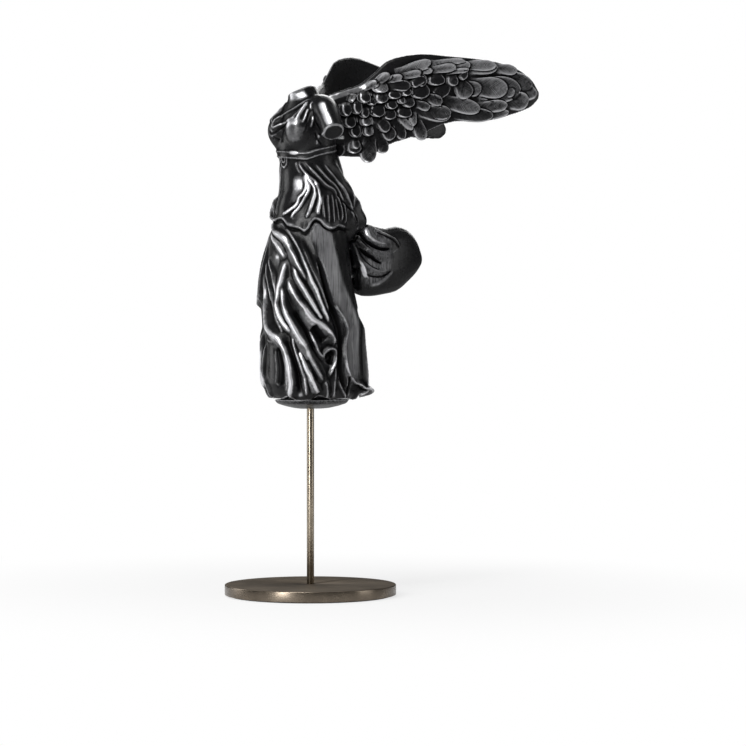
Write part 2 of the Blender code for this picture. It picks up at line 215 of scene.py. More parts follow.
class Clay:
    """A casting being sculpted."""

    def __init__(self, piece, place):
        """place turns a stroke's points into places on the cast form, each with the surface's normal."""
        self.piece = piece
        self.place = place
        self.edges = edges_of(piece.data)
        self.co, normals = read_mesh(piece.data)
        self.no = unit(blur(normals, self.edges, 4))
        self.up = np.zeros(len(self.co))
        self.down = np.zeros(len(self.co))
        self.shift = np.zeros(len(self.co))
        self.silver_and_highlight = np.zeros(len(self.co))
        self.painted_shade = np.zeros(len(self.co))

    def lay(self, points, place=None):
        """Evenly spaced places along a stroke, with the direction and the surface's normal at each."""
        rough = spline(points, np.linspace(0, 1, 12 * (len(points) - 1) + 1))
        hits = [(place or self.place)(*p) for p in rough]
        hits = [h for h in hits if h is not None]
        at = np.array([h[0] for h in hits])
        normal = np.array([h[1] for h in hits])
        along = np.concatenate([[0], np.cumsum(np.linalg.norm(np.diff(at, axis=0), axis=1))])
        count = max(int(along[-1] / 0.8), 4)
        even = np.linspace(0, along[-1], count)
        at = np.stack([np.interp(even, along, at[:, k]) for k in range(3)], axis=1)
        normal = unit(np.stack([np.interp(even, along, normal[:, k]) for k in range(3)], axis=1))
        direction = unit(np.gradient(at, axis=0))
        return at, direction, normal

    def near(self, laid, reach):
        """The vertices within reach of a stroke: index, distance aside (left is plus) and share along it."""
        at, direction, normal = laid
        low, high = at.min(0) - reach, at.max(0) + reach
        index = np.flatnonzero(((self.co > low) & (self.co < high)).all(1))
        spot = self.co[index]
        best = np.full(len(index), 1e9)
        which = np.zeros(len(index), int)
        for k in range(len(at)):
            gap = ((spot - at[k]) ** 2).sum(1)
            closer = gap < best
            best[closer] = gap[closer]
            which[closer] = k
        offset = spot - at[which]
        facing = (self.no[index] * normal[which]).sum(1) > 0.0
        left = np.cross(normal[which], direction[which])
        side = (offset * left).sum(1)
        ahead = (offset * direction[which]).sum(1)
        distance = np.sqrt(side**2 + ahead**2) * np.sign(side)
        keep = facing & (best < reach**2)
        share = which / (len(at) - 1)
        return index[keep], distance[keep], share[keep]

    def rub(self, points, amount, band, fade=(0.15, 0.15), place=None, lean=0.0):
        """Rubs the patina to silver, or paints a highlight, in a band along a line; amount and band may be
        lists, from start to end.

        lean moves the band to the line's right, as a share of its width.
        """
        bands, amounts = np.ravel(band), np.ravel(amount)
        index, distance, share = self.near(self.lay(points, place), (1.6 + lean) * bands.max())
        wide = np.interp(share, np.linspace(0, 1, len(bands)), bands)
        much = np.interp(share, np.linspace(0, 1, len(amounts)), amounts)
        value = much * faded(share, fade) * smoothstep(1.6, 0.5, np.abs(distance / wide + lean))
        np.maximum.at(self.silver_and_highlight, index, value)

    def stroke(self, points, height, left, right, sharp=1.5, fade=(0.15, 0.15)):
        """A ridge (height above 0) or a groove (below 0), with its own width on the left and on the right.

        Height and widths may be lists, from start to end. sharp above 1 draws the crest to an edge. Where
        strokes meet, the higher of two ridges and the deeper of two grooves is kept.
        """
        sizes = [np.ravel(v) for v in (height, left, right)]
        index, distance, share = self.near(self.lay(points), max(sizes[1].max(), sizes[2].max()))
        tall, wide_left, wide_right = (np.interp(share, np.linspace(0, 1, len(v)), v) for v in sizes)
        out = np.abs(distance) / np.where(distance > 0, wide_left, wide_right)
        value = tall * np.clip(1 - out, 0, 1) ** sharp * faded(share, fade)
        np.maximum.at(self.up, index, np.maximum(value, 0))
        np.minimum.at(self.down, index, np.minimum(value, 0))

    def finish(self):
        """Moves the surface, never so far in that a hollow casting's wall gives way, and marks the grooves by
        their depth for painted shade.
        """
        push = np.maximum(self.up + self.down + self.shift, -DEEPEST)
        # painted shade: the deeper a groove, the darker the material keeps it
        self.painted_shade = smoothstep(-0.5, -2.2, self.down)
        write_mesh(self.piece.data, self.co + self.no * push[:, None])


def nearness(piece, line, place, reach):
    """How near each vertex is to a line laid on a surface: 1 on it, falling to 0 at reach."""
    spots = [place(*p) for p in spline(line, np.linspace(0, 1, 40))]
    spots = np.array([s[0] for s in spots if s is not None])
    co, _ = read_mesh(piece.data)
    gap = np.full(len(co), 1e9)
    for spot in spots:
        gap = np.minimum(gap, ((co - spot) ** 2).sum(1))
    return 1 - smoothstep(0.35, 1.0, np.sqrt(gap) / reach)


def carry_over(old_co, values, piece):
    """Numbers per vertex carried from one mesh's vertices to the nearest ones of a piece."""
    tree = KDTree(len(old_co))
    for k, spot in enumerate(old_co):
        tree.insert(spot, k)
    tree.balance()
    co, _ = read_mesh(piece.data)
    nearest = np.array([tree.find(spot)[1] for spot in co])
    return [value[nearest] for value in values]


def skin_of(node, name):
    """A fine copy of a CAD casting, on an even grid, with the CAD's facets smoothed away."""
    piece = new_piece(name, NODES[node].data.copy())
    piece.data.materials.clear()
    remesh(piece, SKIN_VOXEL)
    co, _ = read_mesh(piece.data)
    write_mesh(piece.data, blur(co, edges_of(piece.data), 10))
    return piece


def weather(piece, share=1.0):
    """Marks how far each vertex stands out of its surroundings: fine for rims, broad for folds."""
    edges = edges_of(piece.data)
    co, no = read_mesh(piece.data)
    fine = ((co - blur(co, edges, 6)) * no).sum(1)
    broad = ((co - blur(co, edges, 60)) * no).sum(1)
    mark(piece, "rim", share * np.clip(blur(fine, edges, 1) / 0.12, -1, 1))
    mark(piece, "fold", share * np.clip(blur(broad, edges, 2) / 0.9, -1, 1))


def reskin(piece, clay, share=1.0):
    """Rebuilds a sculpted casting's skin on an even grid, eases it and gives it back its marks."""
    old_co, _ = read_mesh(piece.data)
    remesh(piece, SKIN_VOXEL)
    marks = carry_over(old_co, (clay.silver_and_highlight, clay.painted_shade), piece)
    co, _ = read_mesh(piece.data)
    edges = edges_of(piece.data)
    write_mesh(piece.data, blur(co, edges, 2))
    weather(piece, share)
    for name, values in zip(("silver_and_highlight", "painted_shade"), marks):
        mark(piece, name, blur(values, edges, 2))


def stands_for(piece, node, body="figure"):
    """Shades a finished piece smoothly and puts it in its CAD node's place."""
    piece.data.shade_smooth()
    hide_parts(node)
    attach(piece, body)
    return piece


def tree_of(node):
    """A search tree over a CAD node, in millimetres."""
    mesh = NODES[node].data
    spots = [v.co / MM for v in mesh.vertices]
    return BVHTree.FromPolygons(spots, [tuple(p.vertices) for p in mesh.polygons])


# ---------------------------------------------------------------- the draped body

BODY_TREE = tree_of("figure_body")
FAR = 120.0  # outside the body


def on_body(angle, height):
    """The body's surface at an angle round it (0 in front, 90 at its own left) and a height."""
    a = math.radians(angle)
    out = Vector((math.sin(a), -math.cos(a), 0))
    axis = Vector((0, 0, height))
    hit, normal, _, _ = BODY_TREE.ray_cast(axis + out * FAR, -out)
    if hit is None:
        return None
    return tuple(hit), tuple(normal)


def on_spot(x, y, z):
    """The body's surface nearest to a place."""
    spot, normal, _, _ = BODY_TREE.find_nearest(Vector((x, y, z)))
    return tuple(spot), tuple(normal)


# Each fold: its line as (angle, height) points, then its height, its reach to the left and to the right,
# how much its crest is rubbed to silver and the half-width of that band. Going down, left is towards the
# figure's own left; going round that way, left is up.
CHEST_FOLDS = (
    (((64, 433), (49, 431), (34, 428), (15, 424), (-8, 421), (-18, 418), (-20, 413), (-17, 409), (-9, 412)),
     1.9, 2.2, 2.0, 0.45, 0.9),
    (((50, 428), (41, 424), (34, 419), (26, 415), (8, 413), (-11, 411), (-15, 408)),
     1.6, 1.8, 1.6, 0.6, 0.8),
    (((-64, 433), (-49, 431), (-36, 424), (-26, 416), (-20, 413)), 1.9, 2.0, 2.0, 0.4, 0.8),
    (((51, 431), (46, 426), (41, 421), (38, 416), (37, 412)), 2.2, 2.0, 2.6, 1.0, 1.5),
    (((53, 424), (50, 419), (48, 415), (45, 411)), 1.7, 1.3, 1.3, 0.95, 0.8),
    (((61, 430), (57, 427), (57, 423)), 1.4, 1.2, 1.2, 0.8, 0.7),
    (((60, 418), (60, 414), (58, 410), (56, 407)), 1.4, 1.2, 1.2, 0.8, 0.6),
    (((-51, 431), (-46, 426), (-41, 421), (-38, 414)), 2.0, 2.4, 2.0, 0.8, 1.2),
    (((-55, 426), (-51, 419), (-48, 411)), 1.6, 1.4, 1.4, 0.8, 0.8),
    (((-60, 424), (-58, 416), (-55, 408)), 1.5, 1.4, 1.4, 0.7, 0.7),
    (((72, 404), (68, 397), (66, 391)), 1.2, 1.6, 1.6, 0.2, 0.8),
    (((-60, 404), (-58, 398), (-55, 391)), 1.2, 1.6, 1.6, 0.3, 0.8),
)
CHEST_GROOVES = (
    (((-28, 409), (-22, 404), (-14, 405), (-8, 408), (6, 411), (20, 412)), -1.6, 1.8),
    (((51, 427), (46, 420), (42, 413)), -1.5, 1.1),
    (((56, 424), (53, 417), (50, 410)), -1.5, 1.1),
    (((53, 411), (50, 406), (46, 401)), -1.0, 1.2),
    (((63, 404), (68, 397), (76, 392)), -1.6, 1.4),
    (((-20, 401), (-14, 399), (-6, 398)), -1.0, 2.0),
    (((0, 409), (-1, 402), (-2, 394)), -1.2, 3.0),
)
BELT = (
    (-180, 392), (-120, 391), (-60, 388), (-20, 386), (24, 384), (50, 383), (76, 387), (120, 391),
    (180, 392),
)
BELT_HALF = 2.3
BELT_LOOPS = (
    ((-17, 383), (-14, 377), (-5, 374), (5, 377), (9, 383)),
    ((-10, 382), (-6, 378.5), (1, 379), (3, 382)),
)
BELLY_FOLDS = (
    (((40, 368), (48, 361), (49, 356), (45, 351), (37, 347), (33, 341), (20, 336), (8, 332), (6, 329)),
     2.3, 2.4, 2.8, 1.0, 1.4),
    (((44, 371), (48, 363), (53, 359), (53, 353), (48, 348), (42, 342), (36, 337), (29, 333), (25, 327)),
     2.3, 2.2, 2.2, 1.0, 1.4),
    (((46, 372), (51, 365), (57, 361), (63, 356), (64, 350), (61, 345), (57, 339), (54, 334), (49, 327)),
     2.4, 2.2, 2.2, 1.0, (0.8, 1.5, 1.8)),
    (((62, 364), (70, 355), (72, 350), (73, 345), (70, 339), (68, 335), (69, 330)),
     2.4, 2.4, 2.4, 1.0, (0.8, 1.6, 2.0)),
    (((78, 352), (77, 345), (77, 336), (77, 328)), 1.7, 1.5, 1.5, 0.4, 0.6),
    (((88, 352), (86, 343), (85, 333), (83, 323)), 1.7, 1.5, 1.5, 0.45, 0.7),
    (((95, 352), (95, 343), (93, 333), (92, 323)), 1.7, 1.6, 1.6, 0.3, 0.6),
    (((102, 350), (102, 343), (101, 333), (101, 325)), 1.5, 1.5, 1.5, 0.3, 0.6),
    (((32, 379), (34, 377), (42, 371), (52, 366), (65, 361), (73, 357)), 2.0, 2.2, 2.2, 0.5, 0.9),
    (((46, 379), (48, 377), (57, 372), (71, 365), (85, 358), (100, 354), (107, 347), (110, 340),
      (109, 332), (105, 324)), 2.4, 2.6, 2.4, 0.4, 0.9),
    (((61, 379), (74, 371), (90, 363), (106, 357), (115, 350), (119, 340), (118, 330), (113, 321)),
     2.2, 2.4, 2.4, 0.35, 0.8),
    (((76, 380), (91, 371), (107, 364), (122, 356), (128, 346), (130, 328)), 2.0, 2.2, 2.4, 0.3, 0.8),
    (((27, 379), (30, 373), (36, 368)), 1.2, 1.6, 1.6, 0.4, 0.8),
    (((-16, 381), (-24, 368), (-26, 354), (-22, 340), (-12, 331)), 1.8, 3.0, 3.0, 0.5, 0.9),
    (((-30, 381), (-40, 366), (-44, 350), (-40, 338), (-30, 329)), 2.2, 3.0, 3.0, 0.7, 1.0),
    (((-44, 382), (-54, 366), (-58, 350), (-56, 336)), 2.2, 3.0, 3.0, 0.7, 1.0),
    (((-60, 383), (-68, 366), (-72, 350), (-70, 334)), 2.2, 3.0, 3.0, 0.6, 1.0),
)
OVERFOLD_HEM = (
    (-100, 326), (-75, 329), (-55, 327), (-38, 330), (-18, 328), (6, 329), (19, 323.5), (30, 322),
    (40, 320.5), (47, 318), (54, 321), (58, 325), (63, 328), (70, 327), (76, 323), (84, 320.5), (93, 321),
    (101, 323), (115, 322), (130, 321),
)
BACK_HEM = ((150, 322), (168, 326), (184, 321), (201, 327), (216, 322), (232, 327), (246, 323), (260, 326))
THIGH_LINE = ((72, 318), (80, 300), (94, 272), (112, 250), (124, 236), (124, 214), (124, 196))
SKIRT_FOLDS = (
    (((-18, 323), (-10, 313), (3, 307), (13, 301), (22, 294)), 3.6, 4.0, 5.0, 0.8, 1.2),
    (((-28, 338), (-20, 325), (-8, 318), (1, 316), (16, 312), (25, 306), (30, 301), (35, 296), (40, 289),
      (47, 281), (52, 273)), 4.0, 4.5, 5.0, (0.3, 1.0, 0.9, 0.2), (1.4, 2.2, 2.2, 0.8)),
    (((2, 326), (19, 320), (30, 313), (37, 307), (43, 300), (48, 292), (53, 284), (58, 275), (64, 267),
      (68, 260), (73, 252), (79, 244), (84, 236)), 3.6, 3.8, 4.2, (0.3, 0.4, 0.9, 0.8), 1.1),
    (((38, 314), (45, 305), (51, 296), (57, 286), (64, 277), (70, 268), (77, 257), (84, 247)),
     2.6, 3.0, 3.0, 0.35, 0.8),
    (((22, 297), (20, 288), (19, 281), (17, 275), (14, 269), (13, 261), (11, 255), (13, 249), (17, 243),
      (23, 237), (28, 233), (32, 228)), 4.4, 5.0, 5.5, 1.0, (2.0, 2.2, 1.4)),
    (((26, 235), (33, 226), (35, 219), (38, 212), (42, 204), (46, 196), (49, 190), (50, 184), (51, 175)),
     2.8, 3.5, 3.5, 0.6, 0.8),
    (((19, 280), (18, 271), (18, 267), (21, 260), (23, 254), (27, 246), (33, 238), (38, 231), (43, 225),
      (49, 219), (53, 213), (58, 206), (64, 199), (69, 193), (76, 186)),
     5.2, 5.5, 6.5, (1.0, 1.0, 0.8), (1.5, 2.0, 2.2)),
    (((29, 291), (35, 284), (40, 277), (47, 269), (53, 262), (60, 254), (67, 246), (74, 240)),
     3.6, 4.2, 4.2, 0.85, 1.4),
    (((22, 281), (25, 277), (30, 270), (35, 265), (41, 258), (48, 252), (54, 246), (61, 241), (71, 237),
      (79, 233), (86, 228), (90, 223), (89, 217)), 5.0, 5.0, 7.0, 1.0, (1.0, 1.8, 2.0)),
    (((-24, 300), (-14, 291), (-3, 282), (3, 273), (7, 267), (9, 259)), 2.6, 3.2, 3.2, 0.9, 0.9),
    (((-30, 294), (-22, 287), (-17, 279), (-10, 271), (-4, 264), (0, 256)), 2.6, 3.2, 3.2, 0.7, 0.9),
    (((-8, 270), (-3, 263), (2, 257), (6, 251), (10, 243), (16, 235), (21, 228)), 2.6, 3.0, 3.0, 0.35, 0.9),
    (((-30, 288), (-22, 276), (-16, 268), (-12, 258), (-11, 250), (-10, 243), (-6, 234), (3, 229),
      (14, 225), (20, 220), (25, 214), (28, 207), (30, 200), (31, 193), (32, 185), (29, 178), (25, 171)),
     5.2, 7.0, 6.0, 1.0, (1.2, 3.0, 2.2, 1.8, 1.8)),
    (((39, 218), (43, 212), (47, 206), (51, 199), (56, 193), (60, 187), (64, 181), (68, 175)),
     3.6, 4.5, 4.5, 1.0, 1.5),
    (((54, 236), (56, 231), (59, 226), (64, 219), (68, 213), (73, 210), (78, 213), (85, 216), (92, 215),
      (96, 211), (94, 205), (89, 200), (83, 191)), 3.4, 2.8, 2.8, 0.75, 1.3),
    (((98, 202), (101, 192), (103, 185), (109, 179), (120, 173)), 2.0, 2.0, 2.0, 0.5, 0.7),
    (((-14, 226), (-19, 214), (-23, 202), (-21, 192), (-14, 184), (-8, 172)), 3.0, 4.0, 3.5, 0.4, 1.4),
    (((-18, 226), (-8, 223), (2, 222), (10, 223)), 1.6, 1.6, 1.6, 0.3, 0.8),
    (((76, 190), (80, 183), (82, 172)), 2.4, 3.2, 3.2, 0.4, 1.0),
    (((96, 232), (97, 218), (95, 204), (92, 190), (92, 172)), 2.6, 3.0, 3.0, 0.15, 0.8),
    (((-40, 353), (-41, 347), (-42, 340), (-41, 333), (-37, 327)),
     (2.0, 5.4, 5.4, 3.5), 1.8, 3.0, 0.5, 0.7),
    (((126, 187), (136, 185), (146, 182), (154, 179), (160, 176)),
     (2.0, 6.0, 7.0), 3.5, 2.2, (0.5, 0.9), 0.9),
)
LEG_EDGE = (
    (54, 312), (66, 294), (75, 277), (80, 265), (87, 255), (94, 250), (103, 244), (110, 238), (114, 232),
    (111, 225), (109, 216), (110, 207), (113, 198), (121, 191), (133, 186), (144, 182), (149, 181),
)
SKIRT_GROOVES = (
    (((62, 303), (72, 283), (80, 264), (88, 250), (95, 241), (101, 231), (102, 219), (100, 206),
      (102, 195), (110, 185), (124, 180)), -5.0, (2.0, 5.0, 5.5)),
    (((58, 236), (68, 229), (78, 222)), -3.4, 6.0),
    (((76, 209), (87, 210), (83, 202)), -3.4, 5.0),
    (((23, 226), (29, 217), (35, 205), (40, 193), (41, 178)), -2.6, 4.0),
    (((9, 219), (14, 207), (16, 196), (13, 181)), -4.0, 6.0),
    (((33, 250), (41, 241), (50, 232), (57, 222), (64, 213)), -2.4, 4.0),
    (((52, 208), (60, 198), (68, 188)), -1.6, 2.0),
    (((118, 194), (122, 184), (120, 172)), -2.6, 3.0),
    (((100, 352), (118, 344), (134, 332), (138, 322)), -2.2, 1.6),
)
# Places made bright without a fold, some rubbed and some painted highlights: the line, how much, and the
# half-width.
RUBS_AND_HIGHLIGHTS = (
    # painted highlight on the belly's bulge
    (((30, 370), (31, 362), (31, 354), (28, 346), (20, 339)), (0.5, 0.85, 0.75, 0.6, 0.5), 4.8),
    # painted highlight on the knee's bulge pushing through the skirt
    (((2, 300), (4, 293), (8, 286)), 0.85, 3.0),
    (((-7, 216), (-10, 207), (-16, 198)), 0.9, 1.3),
    (((-23, 197), (-16, 188), (-8, 181), (-8, 174)), 0.4, 2.6),
    (((23, 192), (25, 184), (22, 177)), 0.8, 0.8),
    (((38, 177), (43, 177), (47, 178)), 0.7, 1.8),
    # painted highlight along the belt
    (((12, 387.5), (24, 386), (38, 385.5)), 0.95, 1.6),
    # the breast's painted highlight: a bright line and a broad soft patch
    (((10, 407), (22, 411), (34, 413), (46, 410)), 1.15, 3.6),
    (((6, 402), (22, 404), (38, 404), (54, 400)), 0.5, 5.5),
    (((2, 331), (10, 328), (19, 324.5), (30, 323), (38, 321.5)), 0.95, 1.5),
    (((8, 399), (22, 399), (36, 400), (48, 401)), 0.45, 5.0),
    # painted highlight on the top of the thigh
    (((76, 319), (78, 310), (80, 300)), 0.5, 3.2),
    (((-27, 222), (-31, 206), (-28, 190), (-22, 176)), 0.95, 3.4),
    (((104, 368), (116, 359), (126, 348), (134, 338)), 0.5, 2.2),
)
# Painted highlights on the stumps, the neck's front and the long one down the arm: the same columns, with
# places in millimetres.
STUMP_HIGHLIGHTS = (
    (((-6, -19, 436), (1, -19, 435.5), (6, -17, 435.5), (9, -13, 437), (10, -9, 439)), 1.0, 3.6),
    (((33, -11.5, 431), (38, -13, 425), (44, -14, 418.5), (51, -14.7, 410), (53, -14, 406)), 0.95, 3.0),
)
# Families of folds on the figure's right and back: belly pleats, swags, skirt pleats, and two that join them.
FAR_FOLDS = (
    between(((134, 329), (136, 360), (130, 388)), ((292, 329), (286, 360), (290, 388)), 17, seed=1),
    between(
        ((146, 322), (188, 304), (234, 298), (274, 314)),
        ((140, 272), (190, 247), (240, 243), (288, 264)),
        6, seed=2,
    ),
    between(
        ((140, 250), (144, 228), (146, 200), (148, 171)),
        ((332, 242), (334, 222), (334, 200), (336, 171)),
        17, seed=3,
    ),
    between(
        ((292, 330), (302, 300), (308, 270), (318, 246)),
        ((322, 334), (328, 306), (332, 284), (338, 258)),
        4, seed=4,
    ),
    between(((152, 318), (146, 280), (148, 254)), ((134, 314), (137, 280), (143, 250)), 2, seed=6),
)
# The height and the reach of each family above.
FAR_SIZES = ((2.3, 3.6), (4.2, 8.5), (4.4, 6.0), (3.6, 6.0), (2.0, 4.0))
# How far the hem is lifted (above 0) or hangs lower, by angle.
HEM_WAVES = (
    (-180, 1), (-164, -1), (-150, 1.5), (-136, -1), (-120, 1), (-104, -1), (-88, 1.5), (-70, -0.5),
    (-55, 1.5), (-42, 0), (-30, 2.2), (-8, 1), (10, 1), (22, 2.4), (33, -0.6), (42, -1.6), (52, -0.8),
    (60, 1), (68, 2.6), (79, 1.6), (95, 0), (124, -0.4), (150, 0), (166, 0.8), (180, 1),
)
HEM_EDGE = tuple((angle, 172.8 + 1.0 * wobble(k, 8)) for k, angle in enumerate(range(-180, 181, 12)))
ARM_CUT = ((50.0, -9.0, 401.0), (0.653, -0.149, -0.743), 9.7)
NECK_CUT = ((-4.0, -7.5, 443.0), (-0.233, -0.279, 0.932), 13.0)


SKIRT_SUNK = 2.2  # how far the ground between the skirt's folds lies inside the cast form
SKIRT_TALL = 1.15  # a skirt fold's height, as a multiple of its own
SKIRT_TAPER = np.array((0.9, 1.6, 1.75, 1.1))  # its reach from its start to its end, as multiples of its own
# The painted sheen on its lit flank, beside its crest: share, width as a multiple, fade and lean.
SKIRT_LIT_FLANKS = ((0.6, 1.7, (0.25, 0.15), 0.9), (0.36, 3.2, (0.3, 0.2), 0.7))
THIGH_REACH = 17.0  # the thigh pushes out through the skirt this far from its line
BRUSHED_REACH = 15.0
CAP_DRAWN_IN = 1.0  # keeps the cap's rim behind the hem


def dish(clay, cut, depth, rim):
    """Hollows a stump's cut end a little inside its rim, and rubs the rim."""
    centre, axis, radius = (np.array(v) for v in cut)
    offset = clay.co - centre
    ahead = offset @ axis
    out = np.linalg.norm(offset - ahead[:, None] * axis, axis=1) / radius
    end = smoothstep(-3.5, -1.0, ahead) * (out < 1.25)
    clay.shift -= depth * end * smoothstep(0.95, 0.7, out) * (clay.no @ axis > 0.2)
    clay.silver_and_highlight = np.maximum(clay.silver_and_highlight, rim * end * np.exp(-(((out - 0.97) / 0.09) ** 2)))


def lay_folds(clay):
    """The drapery's folds: those drawn one by one, then the families on the figure's right and back."""
    for line, tall, left, right, silver_and_highlight, band in CHEST_FOLDS + BELLY_FOLDS:
        clay.stroke(line, tall, left, right, sharp=1.3, fade=(0.2, 0.1))
        clay.rub(line, silver_and_highlight, band)
    for line, tall, left, right, silver_and_highlight, band in SKIRT_FOLDS:
        tall, silver_and_highlight, band = (np.ravel(v) for v in (tall, silver_and_highlight, band))
        left, right = left * SKIRT_TAPER, right * SKIRT_TAPER
        clay.stroke(line, SKIRT_TALL * tall, left, right, sharp=1.7, fade=(0.25, 0.08))
        clay.rub(line, silver_and_highlight, band, fade=(0.2, 0.08))
        # painted sheen on the flank that faces the key light
        for share, wider, fade, lean in SKIRT_LIT_FLANKS:
            clay.rub(line, share * silver_and_highlight, wider * band, fade=fade, lean=lean)
    for family, (tall, reach) in zip(FAR_FOLDS, FAR_SIZES):
        for line, weight in family:
            clay.stroke(line, tall * weight, reach, reach, sharp=1.7, fade=(0.2, 0.08))
            clay.rub(line, 0.6 * weight, 1.0 * weight)
            clay.rub(line, 0.3 * weight, 0.5 * reach)
    for line, depth, reach in CHEST_GROOVES + SKIRT_GROOVES:
        clay.stroke(line, depth, reach, reach, sharp=1.1)
    for line, amount, band in RUBS_AND_HIGHLIGHTS:
        clay.rub(line, amount, band, fade=(0.3, 0.3))
    for line, amount, band in STUMP_HIGHLIGHTS:
        clay.rub(line, amount, band, fade=(0.2, 0.2), place=on_spot)


def lay_belt(clay):
    """The belt, raised along both its edges, and the loops of its knot."""
    for raised in (BELT_HALF, -BELT_HALF):
        line = [(a, z + raised) for a, z in BELT]
        clay.stroke(line, 1.7, 1.3, 1.3, sharp=0.8, fade=(0, 0))
        clay.rub(line, 0.4, 0.8, fade=(0, 0))
    clay.stroke(BELT, 0.9, BELT_HALF + 0.4, BELT_HALF + 0.4, sharp=0.3, fade=(0, 0))
    for line in BELT_LOOPS:
        clay.stroke(line, 1.8, 1.3, 1.3, sharp=0.9, fade=(0, 0))
        clay.rub(line, 0.6, 0.7, fade=(0, 0))


def lay_hems(clay):
    """The overfold's hem, the drapery's edge down the leg and the skirt's hem."""
    for hem, fade in ((OVERFOLD_HEM, (0, 0.1)), (BACK_HEM, (0.15, 0))):
        clay.stroke(hem, 1.5, 6.0, 0.8, sharp=0.9, fade=fade)
        clay.rub(hem, 0.6, 0.9, fade=fade)
        clay.stroke([(a, z - 1.9) for a, z in hem], -1.8, 1.6, 2.6, sharp=1.0, fade=fade)
    clay.stroke(LEG_EDGE, 2.4, 5.0, 1.4, fade=(0.2, 0))
    clay.rub(LEG_EDGE, (0.1, 0.4, 0.65, 0.7), 1.3)
    clay.stroke(HEM_EDGE, 0.9, 1.3, 1.3, sharp=0.9, fade=(0, 0))
    clay.rub(HEM_EDGE, 0.8, 0.7, fade=(0, 0))


def draped_body():
    """The body casting with its folds, its belt, its hems and its stumps."""
    piece = skin_of("figure_body", "draped_body")
    clay = Clay(piece, on_body)
    height = clay.co[:, 2]
    thigh = nearness(piece, THIGH_LINE, on_body, THIGH_REACH)
    outside = smoothstep(-0.1, 0.2, (clay.co[:, :2] * clay.no[:, :2]).sum(1) / np.hypot(*clay.co[:, :2].T))
    skirt = smoothstep(330, 318, height) * smoothstep(173, 182, height)
    clay.shift -= SKIRT_SUNK * outside * (1 - thigh) * skirt
    lay_folds(clay)
    lay_belt(clay)
    lay_hems(clay)
    dish(clay, ARM_CUT, 1.6, 0.7)
    dish(clay, NECK_CUT, 0.8, 0.1)
    clay.finish()
    co, _ = read_mesh(piece.data)
    angle = np.degrees(np.arctan2(co[:, 0], -co[:, 1]))
    wave = np.interp(angle, *np.array(HEM_WAVES).T)
    co[:, 2] += wave * smoothstep(186, 172, co[:, 2])
    write_mesh(piece.data, co)
    reskin(piece, clay)
    mark(piece, "brushed", nearness(piece, THIGH_LINE, on_body, BRUSHED_REACH))
    thin(piece)
    return stands_for(piece, "figure_body")


def domed_cap():
    """The cap under the hem, its facets smoothed and its rim drawn in."""
    piece = skin_of("underside_cap", "domed_cap")
    clay = Clay(piece, on_body)
    upright = smoothstep(0.3, 0.8, np.hypot(clay.no[:, 0], clay.no[:, 1]))
    clay.shift -= CAP_DRAWN_IN * upright * (clay.co[:, 2] < 171)
    clay.finish()
    weather(piece)
    mark(piece, "brushed", np.full(len(piece.data.vertices), 0.7))
    return stands_for(piece, "underside_cap")


# ---------------------------------------------------------------- the wings


class WingForm:
    """A CAD wing read as a bent sheet: its run in plan, its edges and its thickness, by distance back."""

    def __init__(self, node):
        low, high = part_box(node)
        self.side = 1.0 if high.x + low.x > 0 else -1.0
        cuts = np.linspace(low.y / MM + 0.6, high.y / MM - 0.6, 70)
        rows = []
        for y in cuts:
            bm = bmesh.new()
            bm.from_mesh(NODES[node].data)
            whole = bm.verts[:] + bm.edges[:] + bm.faces[:]
            found = bmesh.ops.bisect_plane(bm, geom=whole, plane_co=(0, y * MM, 0), plane_no=(0, 1, 0))
            spots = np.array([v.co for v in found["geom_cut"] if isinstance(v, bmesh.types.BMVert)]) / MM
            rows.append((spots[:, 2].max(), spots[:, 2].min(), spots[:, 0].max(), spots[:, 0].min()))
            bm.free()
        top, bottom, far, near = np.array(rows).T
        ease = np.array((1, 2, 3, 2, 1)) / 9.0
        self.y = cuts
        self.top, self.bottom, self.x = (
            np.convolve(np.pad(v, 2, mode="edge"), ease, "valid") for v in (top, bottom, (far + near) / 2)
        )
        self.slope = np.gradient(self.x, cuts)
        self.half = (far - near) / 2 / np.sqrt(1 + self.slope**2)
        self.run = np.concatenate([[0], np.cumsum(np.hypot(np.diff(self.x), np.diff(cuts)))])

    def edges(self, back):
        """The heights of the lower and the upper edge at a distance back."""
        return np.interp(back, self.y, self.bottom), np.interp(back, self.y, self.top)

    def surface(self, run, z, lift):
        """The place on the outer face at a distance along the sheet and a height, raised by lift."""
        beyond = run - np.clip(run, self.run[0], self.run[-1])
        y = np.interp(run, self.run, self.y)
        slope = np.interp(y, self.y, self.slope)
        length = np.sqrt(1 + slope**2)
        bottom, top = self.edges(y)
        share = np.clip((z - bottom) / (top - bottom), 0, 1)
        lens = 2 * np.sqrt(share * (1 - share)) * (0.45 + 0.75 * share)
        out = self.side * (np.interp(y, self.y, self.half) * lens + lift)
        x = np.interp(y, self.y, self.x) + beyond * slope / length + out / length
        return np.stack([x, y + beyond / length - out * slope / length, z], axis=-1)


BLADE_THICK = 1.9
BLADE_SUNK = 0.6  # a feather's face lies this far inside its layer's level
RIM = 0.75  # how far its rim stands above its face
SHAFT = 0.35  # the same for the shaft of a long feather
ROUND_FROM = 0.62  # the share of its length where its tip begins to round
TIP_LIFT = 2.1  # how far its tip stands above its root
ROOT_DIP = 1.5
CROWN = 0.08  # its doming, as a share of its width
LEAN = 0.05  # how far it tilts sideways, as a share of its width
SHADOW_LINE_WIDTH = 1.15  # the painted shadow line left round it, on the feathers beneath
WIDER = 1.14  # multiples of the width and the raising that the lists of feathers give
RAISED = 1.2
END_WORN = 0.2  # how much more the feathers near the wing's end are rubbed
TIP_ROUND = 9.0  # how far back from its end a wing's corners are rounded

